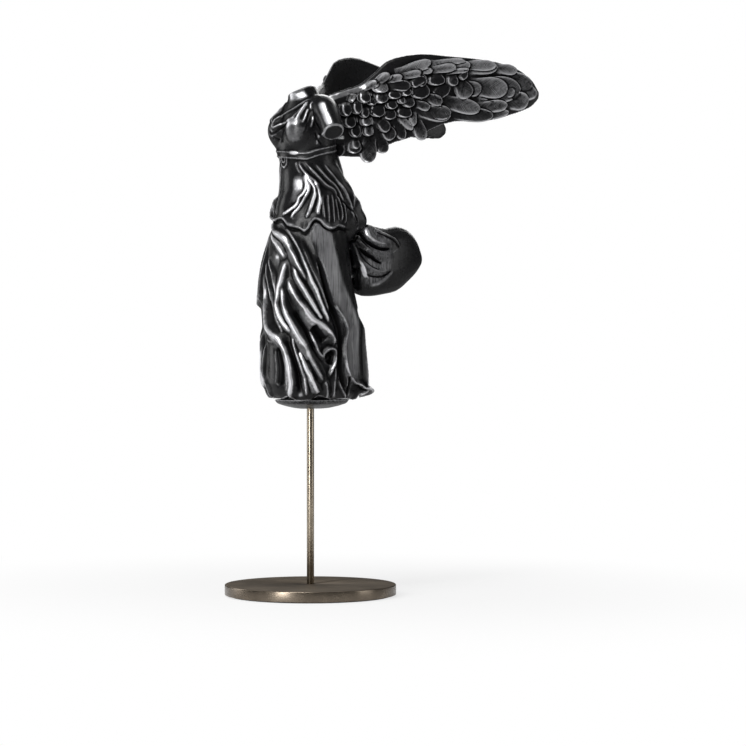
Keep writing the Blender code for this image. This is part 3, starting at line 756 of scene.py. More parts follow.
# Where a feather's cross lines lie, as shares of its half-width and of its length.
ACROSS = np.array((-1, -0.94, -0.84, -0.62, -0.3, 0, 0.3, 0.62, 0.84, 0.94, 1))
ALONG = np.array((0, 0.15, 0.3, 0.45, 0.58, 0.7, 0.8, 0.88, 0.94, 0.98, 1))


def half_width(a, width):
    """Half a feather's width at shares of its length, drawn in at the root and rounded at the tip."""
    round_tip = np.sqrt(np.clip(1 - (np.clip(a - ROUND_FROM, 0, 1) / (1 - ROUND_FROM)) ** 2, 0, 1))
    return width / 2 * (0.7 + 0.3 * np.clip(a / 0.5, 0, 1)) * round_tip


class Blade:
    """One feather: a domed blade with a raised rim and a rounded tip, laid on the wing like a tile."""

    def __init__(self, form, root, tip, width, rise, tint):
        self.root = np.array((np.interp(root[0], form.y, form.run), root[1]))
        way = np.array((np.interp(tip[0], form.y, form.run), tip[1])) - self.root
        self.length = math.hypot(*way)
        self.way = way / self.length
        self.aside = np.array((-self.way[1], self.way[0]))
        self.form, self.width, self.rise, self.tint = form, width, rise, tint

    def add(self, bm):
        """Adds the blade as a closed thin shell, and keeps its upper face."""
        a, b = np.meshgrid(ALONG, ACROSS, indexing="ij")
        half = half_width(a, self.width)
        ahead, aside = a * self.length, b * half
        place = self.root + ahead[..., None] * self.way + aside[..., None] * self.aside
        edge = np.minimum((1 - np.abs(b)) * half, (1 - a) * self.length)
        rim = RIM * np.exp(-((edge / 0.9) ** 2))
        shaft = SHAFT * np.exp(-((aside / 0.6) ** 2)) * smoothstep(16, 26, self.length) * (1 - a)
        crown = CROWN * self.width * (1 - b**2)
        lift = self.level(a) - BLADE_SUNK + rim + shaft + crown + LEAN * self.width * b
        self.upper = self.form.surface(place[..., 0], place[..., 1], lift)
        lower = self.form.surface(place[..., 0], place[..., 1], lift - BLADE_THICK - rim)
        layers = [[[bm.verts.new(p * MM) for p in row] for row in face] for face in (self.upper, lower)]
        rows, columns = a.shape
        for i in range(rows - 1):
            for j in range(columns - 1):
                corners = ((i, j), (i + 1, j), (i + 1, j + 1), (i, j + 1))
                bm.faces.new([layers[0][r][c] for r, c in corners])
                bm.faces.new([layers[1][r][c] for r, c in reversed(corners)])
        border = [(i, 0) for i in range(rows)] + [(rows - 1, j) for j in range(1, columns)]
        border += [(i, columns - 1) for i in range(rows - 2, -1, -1)]
        border += [(0, j) for j in range(columns - 2, 0, -1)]
        for (r, c), (s, d) in zip(border, border[1:] + border[:1]):
            bm.faces.new((layers[0][s][d], layers[0][r][c], layers[1][r][c], layers[1][s][d]))

    def level(self, a):
        """How high the blade lies over the sheet; its root dips under the feathers before it."""
        return self.rise + TIP_LIFT * a - ROOT_DIP * smoothstep(0.35, 0.0, a)

    def reading(self, place):
        """For places on the sheet: share of the blade's length, distance aside and distance inside."""
        offset = place - self.root
        a = offset @ self.way / self.length
        aside = offset @ self.aside
        half, before, after = (half_width(np.clip(a + step, 0, 1), self.width) for step in (0, -0.01, 0.01))
        slope = (after - before) / (0.02 * self.length)
        inside = (half - np.abs(aside)) / np.sqrt(1 + slope**2)
        beyond = -np.hypot((a - 1) * self.length, aside)
        return a, aside, np.where(a > 1, beyond, inside)

    def rubbing(self, a, inside):
        """How rubbed the blade is: its rim most, its tip more than its root."""
        rim = smoothstep(1.1, 0.5, inside) * smoothstep(-0.3, 0.1, inside) * smoothstep(0.05, 0.45, a)
        web = (0.05 + 0.9 * self.tint) * (0.35 + 0.65 * a) * (0.55 + 0.45 * smoothstep(3.5, 0.8, inside))
        return web + (1.15 - 0.5 * self.tint) * rim


def read_feathers(blades, form, piece):
    """Marks a wing's vertices from the feather each lies on: rubbing, the barbs' lines, and the painted
    shadow line round each feather's edge on the feathers beneath.
    """
    spots = np.concatenate([blade.upper.reshape(-1, 3) for blade in blades])
    rows, columns = len(ALONG), len(ACROSS)
    faces = []
    for k in range(len(blades)):
        for i in range(rows - 1):
            first = (k * rows + i) * columns
            faces += [(j, j + columns, j + columns + 1, j + 1) for j in range(first, first + columns - 1)]
    tree = BVHTree.FromPolygons([Vector(p) for p in spots], faces)
    co, no = read_mesh(piece.data)
    owner = np.full(len(co), -1)
    for k, spot in enumerate(co):
        _, _, face, _ = tree.find_nearest(spot, 1.2)
        if face is not None:
            owner[k] = face // ((rows - 1) * (columns - 1))
    place = np.stack([np.interp(co[:, 1], form.y, form.run), co[:, 2]], axis=1)
    readings = [blade.reading(place) for blade in blades]
    facing = form.side * (no[:, 0] - no[:, 1] * np.interp(co[:, 1], form.y, form.slope)) > 0.2
    bare = (owner < 0) & facing  # where the sheet stands proud of the feathers laid on it
    level = np.full(len(co), -9.0)
    for k, (blade, (a, _, inside)) in enumerate(zip(blades, readings)):
        higher = bare & (inside > 0) & (a > 0) & (blade.level(a) > level)
        owner[higher] = k
        level[higher] = blade.level(a[higher])
    rubbed, barbs, gap = (np.zeros(len(co)) for _ in range(3))
    for k, (blade, (a, aside, inside)) in enumerate(zip(blades, readings)):
        own = owner == k
        rubbed[own] = blade.rubbing(a[own], inside[own])
        barbs[own] = a[own] * blade.length - 1.3 * np.abs(aside[own])
        level[own] = blade.level(a[own])
    outer = owner >= 0
    # painted shadow: a dark line on a lower feather just beyond the edge of each feather lying over it
    for k, (blade, (a, _, inside)) in enumerate(zip(blades, readings)):
        under = (owner != k) & outer & (level < blade.level(a) + 0.3) & (a > 0.15) & (inside < 0)
        gap[under] = np.maximum(gap[under], smoothstep(-SHADOW_LINE_WIDTH, -0.35 * SHADOW_LINE_WIDTH, inside[under]))
    edges = edges_of(piece.data)
    # the rubbing is taken out under the painted shadow lines
    mark(piece, "shine", blur(rubbed * (1 - gap), edges, 1))
    mark(piece, "painted_shade", blur(gap, edges, 1))
    mark(piece, "barbs", barbs)


# Each feather: its root and its tip as (distance back, height), its width, how far its layer is raised
# and how much it is rubbed. From the wing's root outwards, the lowest layer of each group first.
HANGING = (
    ((21, 398), (19, 384), 10.6, 0.3, 0.05),
    ((32, 399), (33, 387), 11.2, 0.2, 0.3),
    ((44, 403), (44, 379), 13.2, 0.1, 0.4),
    ((52, 402), (58, 388), 10.0, -0.1, 0.3),
    ((66, 417), (73, 400), 8.7, 0.0, 0.1),
    ((83, 418), (91, 400), 10.0, 0.2, 0.5),
    ((56, 412), (64, 400), 10.6, 0.3, 0.3),
    ((33, 400), (34, 391), 7.2, 0.5, 0.45),
    ((68, 420), (81, 409), 5.8, 0.4, 0.75),
    ((81, 425), (81, 412), 6.1, 0.6, 0.75),
    ((51, 418), (60, 407), 9.3, 0.7, 0.25),
)
SCALES = (
    ((33, 414), (33, 401), 9.3, 0.5, 0.15),
    ((43, 412), (43, 402), 7.8, 0.7, 0.45),
    ((60, 427), (61, 417), 10.9, 0.7, 0.08),
    ((73, 429), (73, 419), 12.5, 0.7, 0.1),
    ((29, 421), (28, 409), 10.6, 0.7, 0.05),
    ((51, 432), (50, 419), 12.5, 0.8, 0.03),
    ((41, 420), (42, 411), 9.3, 0.8, 0.5),
    ((62, 435), (62, 426), 9.3, 0.9, 0.05),
    ((76, 438), (77, 428), 10.0, 0.9, 0.35),
    ((71, 438), (70, 431), 6.1, 1.0, 0.2),
    ((40, 429), (40, 418), 8.3, 1.0, 0.15),
    ((25, 433), (26, 419), 9.6, 1.0, 0.12),
    ((46, 437), (46, 429), 7.7, 1.0, 0.15),
    ((34, 435), (34, 421), 9.0, 1.2, 0.12),
    ((53, 441), (54, 431), 11.2, 1.2, 0.5),
    ((64, 443), (64, 435), 11.2, 1.2, 0.05),
    ((85, 449), (86, 436), 13.8, 1.2, 0.03),
    ((27, 437), (33, 434), 7.1, 1.2, 0.7),
    ((74, 445), (75, 438), 8.7, 1.3, 0.12),
    ((40, 442), (40, 431), 10.6, 1.3, 0.15),
    ((53, 450), (53, 440), 12.2, 1.4, 0.8),
    ((59, 447), (78, 447), 8.3, 1.5, 0.08),
    ((79, 452), (92, 451), 8.0, 1.5, 0.05),
)
PRIMARIES = (
    ((148, 452), (196, 444), 15.0, -0.6, 0.3),
    ((160, 458), (191, 452), 14.0, -0.3, 0.35),
    ((113, 424), (154, 423), 11.0, -0.5, 0.12),
    ((143, 421), (169, 427), 6.5, -0.3, 0.3),
    ((166, 436), (188, 438), 13.7, -0.1, 0.4),
    ((133, 447), (179, 447), 19.9, 0.2, 0.3),
    ((139, 430), (167, 433), 9.5, 0.3, 0.4),
    ((107, 435), (141, 428), 11.8, 0.6, 0.45),
    ((81, 427), (114, 421), 11.4, 0.3, 0.3),
    ((93, 425), (114, 424), 11.0, 0.8, 0.45),
    ((127, 449), (141, 444), 11.4, 0.6, 0.45),
    ((163, 443), (173, 445), 7.2, 0.9, 0.5),
    ((82, 432), (95, 428), 7.0, 0.8, 0.4),
    ((91, 438), (106, 433), 8.5, 0.9, 0.45),
    ((101, 449), (109, 439), 15.2, 0.9, 0.06),
    ((86, 450), (88, 436), 14.0, 1.0, 0.04),
    ((122, 452), (129, 438), 14.0, 1.1, 0.45),
    ((133, 449), (166, 447), 16.3, 1.1, 0.55),
    ((100, 458), (101, 448), 14.0, 1.3, 0.06),
    ((82, 456), (87, 448), 14.0, 1.3, 0.05),
    ((115, 458), (115, 448), 9.5, 1.3, 0.25),
    ((122, 460), (128, 456), 8.0, 1.3, 0.1),
)
LEADING_EDGE = (
    ((156, 466), (176, 464), 8.7, 1.0, 0.6),
    ((128, 464), (157, 466), 9.9, 1.0, 0.5),
    ((128, 467), (155, 468), 8.7, 1.6, 0.75),
    ((111, 460), (130, 463), 3.8, 1.3, 0.6),
    ((97, 468), (126, 471), 4.6, 1.4, 0.85),
    ((119, 464), (131, 468), 6.5, 1.7, 0.8),
    ((98, 462), (118, 465), 7.0, 1.6, 0.85),
    ((86, 460), (97, 461), 4.7, 1.6, 0.9),
    ((71, 455), (87, 459), 5.9, 1.6, 0.85),
    ((67, 458), (96, 469), 8.3, 1.3, 0.9),
    ((57, 451), (71, 455), 5.8, 1.6, 0.85),
    ((49, 449), (60, 457), 7.0, 1.4, 0.85),
    ((38, 443), (50, 450), 5.8, 1.3, 0.8),
)
ROLLED_EDGE_HIGHLIGHT = ((13, 435.5), (24, 439), (35, 443), (46, 448.5))  # a painted highlight along the rolled edge beside the shoulder


def feathered_wing(node, name):
    """A wing casting: the CAD's smooth sheet, with feathers fused to its outer face."""
    form = WingForm(node)
    bm = bmesh.new()
    bm.from_mesh(NODES[node].data)

    def fitted(back, height):
        """The same share of this wing's depth as the height is of the left wing's."""
        low, high = LEFT_FORM.edges(back)
        own_low, own_high = form.edges(back)
        return back, own_low + (height - low) / (high - low) * (own_high - own_low)

    def on_sheet(back, height):
        """The place on the wing's outer face, as nearness() reads it."""
        return (form.surface(np.interp(back, form.y, form.run), height, 0.0),)

    blades = []
    for root, tip, width, rise, tint in HANGING + SCALES + PRIMARIES + LEADING_EDGE:
        tint += END_WORN * smoothstep(95, 150, tip[0])
        blade = Blade(form, fitted(*root), fitted(*tip), WIDER * width, RAISED * rise, tint)
        blade.add(bm)
        blades.append(blade)
    piece = piece_from(bm, name)
    remesh(piece, WING_VOXEL)
    co, _ = read_mesh(piece.data)
    co = blur(co, edges_of(piece.data), 2)
    middle = np.interp(co[:, 1], form.y, (form.top + form.bottom) / 2)
    nearing = np.clip((co[:, 1] - form.y[-1] + TIP_ROUND) / TIP_ROUND, 0, 1)
    co[:, 2] = middle + (co[:, 2] - middle) * np.sqrt(1 - 0.7 * nearing**2)
    write_mesh(piece.data, co)
    weather(piece)
    read_feathers(blades, form, piece)
    # the painted highlight along the rolled edge
    band = [fitted(*p) for p in ROLLED_EDGE_HIGHLIGHT]
    mark(piece, "silver_and_highlight", nearness(piece, band, on_sheet, 4.5))
    thin(piece)
    return stands_for(piece, node)


LEFT_FORM = WingForm("left_wing")


# ---------------------------------------------------------------- the mantle's loose end

TAIL_TREE = tree_of("mantle_tail")


def on_tail(back, height, side=1):
    """The loose end's surface at a distance back and a height, on its left (1) or inner (-1) side."""
    hit, normal, _, _ = TAIL_TREE.ray_cast(Vector((side * FAR, back, height)), Vector((-side, 0, 0)))
    if hit is None:
        return None
    return tuple(hit), tuple(normal)


TAIL_WIDER = 1.3  # a fold's reach, as a multiple of its own
INNER_FOLDS = 0.8  # heights and depths on the inner side, as shares of the outer side's
INNER_GROOVES = 0.6
# Folds and grooves of the loose end as (distance back, height) points, like the body's.
TAIL_FOLDS = (
    (((37, 324), (42, 321), (43, 316), (46, 312), (51, 309), (58, 307.5), (68, 308)),
     3.4, 8.0, 3.0, (1.0, 0.9, 0.5, 0.3), 1.5),
    (((36, 317), (37, 310), (40, 307), (43, 303)), 2.2, 1.8, 2.2, 1.0, 0.6),
    (((37, 315), (41, 309.5), (47, 305.5)), 2.2, 1.8, 1.8, 0.8, 0.6),
    (((31, 310), (33, 302), (35, 294), (38, 288), (41, 281), (46, 273)),
     (2.4, 3.6, 3.6, 0.4), 4.0, 4.5, (0.2, 0.7, 1.0, 0.2), (0.6, 1.0, 1.2, 0.6)),
    (((34, 316), (33, 309), (32, 304), (35, 298), (39, 293), (44, 288), (50, 285), (57, 284), (66, 287)),
     2.6, 3.5, 6.0, (0.3, 0.4, 0.5), 1.2),
    (((40, 305), (45, 301), (50, 298.5), (57, 297), (68, 298)), 3.0, 5.0, 5.0, 0.4, 3.0),
    (((50, 321), (55, 319), (59, 317), (64, 315), (69, 313), (73, 310), (77, 306)),
     2.6, 1.6, 7.0, 0.45, 0.9),
    (((44, 272), (52, 273), (60, 278), (68, 286)), 1.6, 3.0, 4.0, 0.5, 2.0),
)
TAIL_GROOVES = (
    (((37, 318), (40, 312), (43, 309), (47, 306.5), (52, 304.5), (58, 303.5), (66, 304.5)),
     -4.8, (1.6, 2.3, 2.2, 1.2)),
    (((34, 305), (36, 303), (38, 301), (42, 298), (46, 296), (50, 293), (56, 290.5)),
     -4.6, (1.2, 2.1, 2.0, 1.0)),
    (((36, 313), (38, 310), (41, 307), (45, 303.5)), -3.4, (1.2, 0.8)),
    (((32, 309), (35, 301), (38, 295), (43, 290), (48, 287), (54, 285)), -2.6, (1.6, 1.2, 0.8)),
    (((40, 282), (46, 279.5), (54, 279), (60, 281), (66, 285)), -1.8, (1.0, 1.8, 1.2)),
    (((51, 318.5), (60, 315), (69, 311), (76, 305)), -2.2, (1.0, 1.5, 1.0)),
    (((28, 318), (28, 304), (30, 290), (33, 276), (35, 266)), -2.6, 5.5),
)
TAIL_RUBS_AND_HIGHLIGHTS = (
    # The first two are painted highlights on the ridges near the root; the others are rubbed.
    (((38, 323), (42, 320), (44, 316), (47, 313)), 1.0, 1.8),
    (((36, 291), (38, 286), (40, 281), (43, 277)), 1.0, 1.9),
    (((45, 303), (52, 300), (60, 298)), 0.5, 3.2),
    (((50, 292), (56, 289), (62, 290)), 0.45, 2.6),
    (((50, 312), (58, 311), (68, 309)), 0.5, 2.6),
    (((77, 306), (71, 303), (64, 298), (58, 291)), 0.6, 0.7),
)
TAIL_BRUSHED = ((46, 284), (52, 292), (55, 300), (54, 310), (50, 314))  # the middle of its worn part


def flying_mantle():
    """The mantle's loose end, ribbed and creased."""
    piece = skin_of("mantle_tail", "flying_mantle")
    clay = Clay(piece, on_tail)
    for line, height, left, right, silver_and_highlight, band in TAIL_FOLDS:
        inner = [(*p, -1) for p in line]
        clay.stroke(line, height, TAIL_WIDER * left, TAIL_WIDER * right, fade=(0.1, 0.3))
        clay.stroke(inner, INNER_FOLDS * np.ravel(height), right, left, fade=(0.1, 0.3))
        clay.rub(line, silver_and_highlight, band)
        clay.rub(inner, silver_and_highlight, band)
    for line, depth, reach in TAIL_GROOVES:
        inner = [(*p, -1) for p in line]
        clay.stroke(line, depth, reach, reach, sharp=0.8, fade=(0.1, 0.1))
        clay.stroke(inner, INNER_GROOVES * depth, reach, reach, fade=(0.1, 0.1))
    for line, amount, band in TAIL_RUBS_AND_HIGHLIGHTS:
        clay.rub(line, amount, band, fade=(0.3, 0.3))
    clay.finish()
    reskin(piece, clay, 0.6)
    mark(piece, "brushed", 0.2 + 0.6 * nearness(piece, TAIL_BRUSHED, on_tail, 20.0))
    thin(piece)
    return stands_for(piece, "mantle_tail")


# ---------------------------------------------------------------- materials


def node_tree(name):
    """A new material, its node tree and its Principled shader."""
    made = bpy.data.materials.new(name)
    made.use_nodes = True
    tree = made.node_tree
    return made, tree, tree.nodes["Principled BSDF"]


def feed(tree, node, inputs):
    """Joins a node's inputs to other nodes' sockets, or sets them to values, by name or number."""
    for slot, value in inputs.items():
        if isinstance(value, bpy.types.NodeSocket):
            tree.links.new(value, node.inputs[slot])
        else:
            node.inputs[slot].default_value = value


def add_node(tree, kind, inputs=None, **settings):
    """A new shader node with its settings and its inputs."""
    node = tree.nodes.new("ShaderNode" + kind)
    for name, value in settings.items():
        setattr(node, name, value)
    feed(tree, node, inputs or {})
    return node


def attribute(tree, name):
    """A number stored on the mesh."""
    return add_node(tree, "Attribute", attribute_name=name).outputs["Fac"]


def noise(tree, scale, detail=4.0, stretch=(1, 1, 1)):
    """Noise in the object's own metres, stretched along an axis where its factor is small."""
    place = add_node(tree, "TexCoord").outputs["Object"]
    mapped = add_node(tree, "Mapping", {"Vector": place, "Scale": stretch}).outputs["Vector"]
    return add_node(tree, "TexNoise", {"Vector": mapped, "Scale": scale, "Detail": detail}).outputs["Fac"]


def line_noise(tree, along, scale, detail):
    """Noise that changes along one value only, which draws lines."""
    inputs = {"W": along, "Scale": scale, "Detail": detail}
    return add_node(tree, "TexNoise", inputs, noise_dimensions="1D").outputs["Fac"]


def sums(tree, *terms):
    """The sum of (value, factor) terms; a term whose value is a number is a constant."""
    total = 0.0
    for value, factor in terms:
        total = add_node(tree, "Math", {0: value, 1: factor, 2: total}, operation="MULTIPLY_ADD").outputs[0]
    return total


def product(tree, first, second):
    """The product of two values."""
    return add_node(tree, "Math", {0: first, 1: second}, operation="MULTIPLY").outputs[0]


def largest(tree, *values):
    """The largest of several values."""
    most = values[0]
    for value in values[1:]:
        most = add_node(tree, "Math", {0: most, 1: value}, operation="MAXIMUM").outputs[0]
    return most


def length(tree, vector):
    """A vector's length."""
    return add_node(tree, "VectorMath", {0: vector}, operation="LENGTH").outputs["Value"]


def ranged(tree, value, low, high, to_low, to_high):
    """A value carried smoothly from one range to another, and held at its ends."""
    inputs = {"Value": value, "From Min": low, "From Max": high, "To Min": to_low, "To Max": to_high}
    return add_node(tree, "MapRange", inputs, interpolation_type="SMOOTHSTEP").outputs["Result"]


def blend_colour(tree, factor, first, second):
    """A mix of two colours."""
    first, second = ((*c, 1.0) if isinstance(c, tuple) else c for c in (first, second))
    return add_node(tree, "Mix", {"Factor": factor, 6: first, 7: second}, data_type="RGBA").outputs[2]


def bump(tree, height, depth, strength=1.0):
    """Fine relief, its depth in millimetres."""
    inputs = {"Strength": strength, "Distance": depth * MM, "Height": height}
    return add_node(tree, "Bump", inputs).outputs["Normal"]


def cast_resin():
    """Satin black patina, rubbed to silver on crests and to graphite on rims, brushed where flat. Some of the
    rubbed marks are painted highlights; grooves, hollows and the lines round the feathers are painted darker
    as shade and reflect less.
    """
    made, tree, shader = node_tree("rubbed_black_resin")
    silver_and_highlight, rim, fold, painted_shade, shine, flat = (
        attribute(tree, name) for name in ("silver_and_highlight", "rim", "fold", "painted_shade", "shine", "brushed")
    )
    blotches = noise(tree, 75.0, 5.0)
    specks = noise(tree, 420.0, 6.0)
    streaks = noise(tree, 900.0, 4.0, (1, 1, 0.03))
    barbs = line_noise(tree, attribute(tree, "barbs"), 0.9, 2.0)
    uneven = sums(tree, (blotches, 0.45), (specks, 0.35), (1.0, -0.4))
    patches = ranged(tree, noise(tree, 42.0, 3.0), 0.36, 0.58, 0.5, 1.0)
    touched = sums(tree, (product(tree, silver_and_highlight, patches), 1.35), (rim, 0.25), (uneven, 1.0))
    polished = ranged(tree, touched, 0.55, 1.2, 0.0, 0.95)
    handled = ranged(tree, touched, 0.22, 0.85, 0.0, 0.16)
    edges = sums(tree, (rim, 0.9), (fold, 0.35), (uneven, 1.0))
    rims = ranged(tree, edges, 0.45, 1.3, 0.0, 0.35)
    webs = sums(tree, (shine, 1.0), (uneven, 0.8), (barbs, 0.5), (1.0, -0.25))
    feathers = ranged(tree, webs, 0.1, 1.1, 0.0, 0.8)
    strokes = sums(tree, (flat, 2.0), (streaks, 2.4), (blotches, 1.2))
    brushed = ranged(tree, strokes, 2.75, 4.4, 0.0, 0.245)
    # painted shade: grooves, and the lines round the feathers, keep none of the rubbing
    clear_of_painted_shade = ranged(tree, sums(tree, (rim, 0.9), (painted_shade, -1.3), (1.0, 1.0)), 0.15, 0.85, 0.0, 1.0)
    bright = product(tree, largest(tree, polished, handled, rims, feathers, brushed), clear_of_painted_shade)
    # painted shade: the black is darker in the hollows of the folds, and reflects less there and in the
    # grooves
    hollow = ranged(tree, fold, -0.8, 0.15, 0.0, 1.0)
    black = blend_colour(tree, hollow, (0.0005, 0.0005, 0.0005), (0.005, 0.005, 0.0055))
    glossy = product(tree, clear_of_painted_shade, hollow)
    relief = sums(tree, (specks, 0.6), (blotches, 1.0), (streaks, 0.15))
    feed(tree, shader, {
        "Base Color": blend_colour(tree, bright, black, (0.60, 0.60, 0.62)),
        "Metallic": ranged(tree, bright, 0.0, 0.6, 0.0, 0.75),
        "Roughness": sums(tree, (bright, 0.1), (specks, 0.2), (1.0, 0.2)),
        "Specular IOR Level": sums(tree, (glossy, 0.17), (bright, 0.2), (1.0, 0.03)),
        "Normal": bump(tree, relief, 0.25, 0.5),
    })
    return made


def turned_metal(name, colour, roughness, rings=0.0, streaks=0.0, drawn=0.0, satin=0.0, relief=0.03):
    """A lacquered metal, its grain running round a turned face (rings) or along the object (streaks).

    drawn stretches its highlights along the axis, as polishing round a rod does. satin dulls the faces
    square to the axis. relief is the grain's depth in millimetres.
    """
    made, tree, shader = node_tree(name)
    blotches = noise(tree, 60.0, 4.0)
    specks = noise(tree, 900.0, 3.0)
    place = add_node(tree, "TexCoord").outputs["Object"]
    aside = add_node(tree, "VectorMath", {0: place, 1: (1, 1, 0)}, operation="MULTIPLY").outputs["Vector"]
    ring = line_noise(tree, length(tree, aside), 3500.0, 3.0)
    grain = noise(tree, 1200.0, 3.0, (1, 1, 0.02))
    facing = add_node(tree, "NewGeometry").outputs["True Normal"]
    upward = add_node(tree, "SeparateXYZ", {"Vector": facing}).outputs["Z"]
    level = product(tree, upward, upward)
    darker = tuple(0.72 * c for c in colour)
    tone = ranged(tree, blotches, 0.3, 0.7, 0.0, 1.0)
    rough = sums(tree, (blotches, 0.10), (specks, 0.02), (level, 0.4 * satin), (1.0, roughness - 0.06))
    height = sums(tree, (ring, rings), (grain, streaks), (specks, 0.03))
    feed(tree, shader, {
        "Base Color": blend_colour(tree, tone, darker, colour),
        "Metallic": sums(tree, (level, -satin), (1.0, 1.0)),
        "Roughness": rough,
        "Tangent": add_node(tree, "Tangent", direction_type="RADIAL", axis="Z").outputs["Tangent"],
        "Anisotropic": drawn,
        "Anisotropic Rotation": 0.25,
        "Normal": bump(tree, height, relief, 0.5),
    })
    return made


def felt():
    """Dark grey felt."""
    made, tree, shader = node_tree("felt")
    fibres = noise(tree, 1500.0, 6.0)
    tufts = noise(tree, 250.0, 4.0)
    mixed = sums(tree, (fibres, 0.6), (tufts, 0.4))
    feed(tree, shader, {
        "Base Color": blend_colour(tree, mixed, (0.012, 0.011, 0.010), (0.06, 0.055, 0.05)),
        "Roughness": 1.0,
        "Specular IOR Level": 0.1,
        "Normal": bump(tree, mixed, 0.4),
    })
    return made


def dress(obj, look):
    """Gives an object one material."""
    obj.data.materials.clear()
    obj.data.materials.append(look)


# ---------------------------------------------------------------- floor, light and camera


def pale_floor():
    """A matt pale floor that fades to the white surround away from the object, and still takes its shadow."""
    made, tree, shader = node_tree("pale_floor")
    feed(tree, shader, {"Base Color": (0.8, 0.8, 0.8, 1), "Roughness": 0.9, "Specular IOR Level": 0.1})
    place = add_node(tree, "NewGeometry").outputs["Position"]
    fade = ranged(tree, length(tree, place), 0.08, 0.5, 0.74, 1.0)
    seen = add_node(tree, "LightPath").outputs["Is Camera Ray"]
    white = add_node(tree, "Emission").outputs[0]
    blend = {"Fac": product(tree, fade, seen), 1: shader.outputs[0], 2: white}
    mix = add_node(tree, "MixShader", blend).outputs[0]
    feed(tree, tree.nodes["Material Output"], {"Surface": mix})
    return made


# Metres here, and degrees. The lights and the camera stand round the figure, turned by CAMERA_AZIMUTH.
SURROUND_LIGHT = 0.07  # the studio's walls, next to the white that the camera sees
FLOOR_RADIUS = 6.0
FLOOR_DROP = 0.0002  # keeps the floor clear of the pad's underside
AIM = Vector((0, 0.03, 0.3))  # where the lights point
CAMERA_BACK = 2.2926
CAMERA_ASIDE = 0.0548
CAMERA_HEIGHT = 0.2236
LENS = 126.3  # millimetres, for a sensor 36 wide
LENS_SHIFT = -0.0442


def lay_floor():
    """A wide pale disc just under the pad."""
    bm = bmesh.new()
    bmesh.ops.create_circle(bm, cap_ends=True, segments=96, radius=FLOOR_RADIUS)
    floor = piece_from(bm, "floor")
    floor.location.z = -FLOOR_DROP
    dress(floor, pale_floor())


def surround():
    """Studio walls that light the object dimly, and that the camera sees as white."""
    world = bpy.data.worlds.new("studio")
    bpy.context.scene.world = world
    world.use_nodes = True
    tree = world.node_tree
    seen = add_node(tree, "LightPath").outputs["Is Camera Ray"]
    shade = add_node(tree, "MapRange", {"Value": seen, "To Min": SURROUND_LIGHT, "To Max": 1.0})
    feed(tree, tree.nodes["Background"], {"Strength": shade.outputs["Result"], "Color": (1, 1, 1, 1)})


def softbox(name, azimuth, elevation, distance, size, radiance):
    """An area light aimed at the figure; azimuth runs round from the camera, plus to its right."""
    a = math.radians(CAMERA_AZIMUTH + azimuth)
    e = math.radians(elevation)
    out = Vector((math.sin(a) * math.cos(e), -math.cos(a) * math.cos(e), math.sin(e)))
    lamp = bpy.data.lights.new(name, "AREA")
    lamp.shape = "RECTANGLE"
    lamp.size, lamp.size_y = size
    lamp.energy = radiance * math.pi * size[0] * size[1]
    obj = bpy.data.objects.new(name, lamp)
    obj.location = AIM + out * distance
    obj.rotation_euler = (-out).to_track_quat("-Z", "Y").to_euler()
    bpy.context.scene.collection.objects.link(obj)
    return obj


def light_up(castings):
    """Soft lights. The fill from behind lights only the castings; the floor and the disc keep their tone."""
    softbox("key_strip", -36, 14, 1.6, (0.36, 1.4), 18)
    softbox("left_wall", -112, 10, 1.6, (0.6, 1.2), 3.0)
    softbox("top_box", -25, 60, 1.5, (0.7, 0.7), 9)
    softbox("right_wall", 78, 8, 1.6, (0.6, 1.2), 2.5)
    fill = softbox("back_fill", 165, 35, 1.8, (1.2, 1.2), 6)
    lit = bpy.data.collections.new("lit_from_behind")
    for casting in castings:
        lit.objects.link(casting)
    fill.light_linking.receiver_collection = lit


def place_camera():
    """A level camera that looks at the figure from CAMERA_AZIMUTH."""
    lens = bpy.data.cameras.new("camera")
    camera = bpy.data.objects.new("camera", lens)
    bpy.context.scene.collection.objects.link(camera)
    a = math.radians(CAMERA_AZIMUTH)
    right = Vector((math.cos(a), math.sin(a), 0))
    back_way = Vector((math.sin(a), -math.cos(a), 0))
    camera.location = back_way * CAMERA_BACK + right * CAMERA_ASIDE + Vector((0, 0, CAMERA_HEIGHT))
    camera.rotation_euler = (math.radians(90), 0, a)
    lens.sensor_width = 36.0
    lens.lens = LENS
    lens.shift_y = LENS_SHIFT
    bpy.context.scene.camera = camera
    bpy.context.scene.view_settings.view_transform = "Standard"


# ---------------------------------------------------------------- the turned stand


def turned(name, node, outline, steps, body):
    """A fine turned piece from (radius, height) points, in a CAD node's place."""
    bm = bmesh.new()
    count = len(outline)
    rings = []
    for k in range(steps):
        turn = 2 * math.pi * k / steps
        way = Vector((math.cos(turn), math.sin(turn), 0))
        rings.append([bm.verts.new((way * r + Vector((0, 0, z))) * MM) for r, z in outline])
    for ring, following in zip(rings, rings[1:] + rings[:1]):
        for i in range(count):
            j = (i + 1) % count
            bm.faces.new((ring[i], following[i], following[j], ring[j]))
    bmesh.ops.recalc_face_normals(bm, faces=bm.faces)
    return stands_for(piece_from(bm, name), node, body)


def rounded(radius, height, size, up, steps=6):
    """Points round a quarter edge of a turned outline, from its side to its flat face."""
    turns = np.linspace(0, math.pi / 2, steps)
    return [(radius - size * (1 - math.cos(t)), height - up * size * (1 - math.sin(t))) for t in turns]


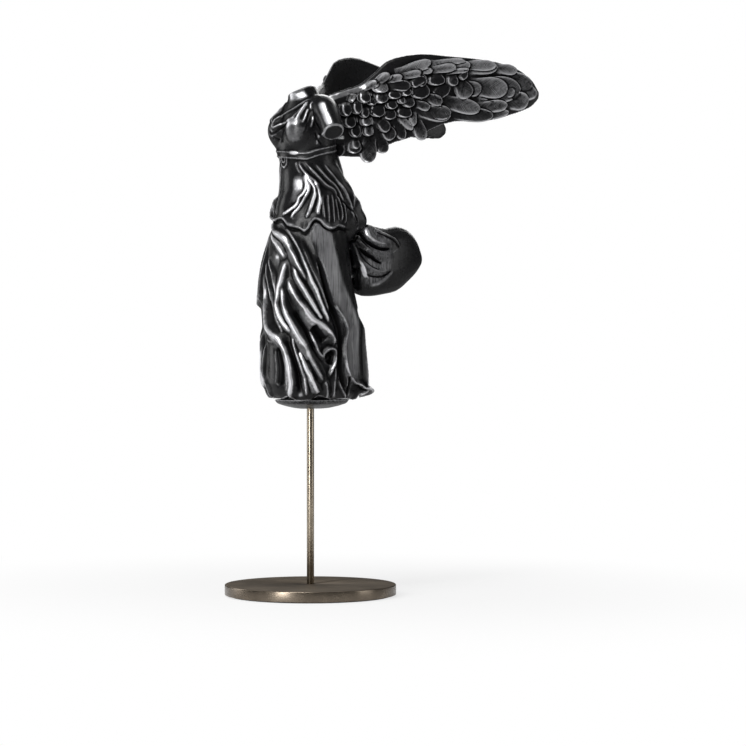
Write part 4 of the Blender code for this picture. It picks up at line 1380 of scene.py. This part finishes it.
# The stand's bores.
SCREW_HOLE_RADIUS = 2.2
POCKET_RADIUS = 4.8
POCKET_TOP = 5.0
THREAD_RADIUS = 2.05
THREAD_END = 24.0


def turned_size(node):
    """A turned CAD part's radius, and the heights of its foot and its top."""
    low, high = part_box(node)
    return high.x / MM, low.z / MM, high.z / MM


def disc():
    """The weighted base disc with eased edges and, underneath, the pocket for the screw's head."""
    radius, foot, top = turned_size("base_plate")
    hole = [(SCREW_HOLE_RADIUS, top), (SCREW_HOLE_RADIUS, POCKET_TOP)]
    pocket = [(POCKET_RADIUS, POCKET_TOP), (POCKET_RADIUS, foot)]
    upper_edge = rounded(radius, top, 0.9, 1)
    lower_edge = rounded(radius, foot, 0.6, -1)
    outline = [*hole, *pocket, *reversed(lower_edge), *upper_edge]
    return turned("turned_base", "base_plate", outline, 256, "stand")


def rod():
    """The polished rod, chamfered at its foot, rounded at its top and bored for the screw."""
    radius, foot, top = turned_size("support_rod")
    chamfer = [(THREAD_RADIUS, foot), (radius - 0.175, foot), (radius, foot + 0.18)]
    bore = [(0.02, top), (0.02, THREAD_END + 1), (THREAD_RADIUS, THREAD_END)]
    outline = [*chamfer, (radius, (foot + top) / 2), *rounded(radius, top, 1.2, 1), *bore]
    return turned("polished_rod", "support_rod", outline, 64, "stand")


RESIN = cast_resin()
castings = (
    draped_body(),
    feathered_wing("left_wing", "feathered_left_wing"),
    feathered_wing("right_wing", "feathered_right_wing"),
    flying_mantle(),
    domed_cap(),
)
for casting in castings:
    dress(casting, RESIN)
dress(disc(), turned_metal("bronzed_base", (0.2, 0.165, 0.128), 0.27, rings=0.5, drawn=0.3, satin=0.5))
dress(rod(), turned_metal("bronzed_rod", (0.38, 0.325, 0.25), 0.27, drawn=0.85, relief=0.0005))
dress(NODES["base_pad"], felt())
dress(NODES["rod_bush"], turned_metal("brass", (0.72, 0.52, 0.24), 0.3, rings=0.5))
ZINC = turned_metal("zinc_steel", (0.56, 0.57, 0.58), 0.35, streaks=0.4)
for name in NODES:
    if name in ("base_screw", "base_washer") or name.endswith("dowel"):
        dress(NODES[name], ZINC)
lay_floor()
surround()
light_up(castings)
place_camera()
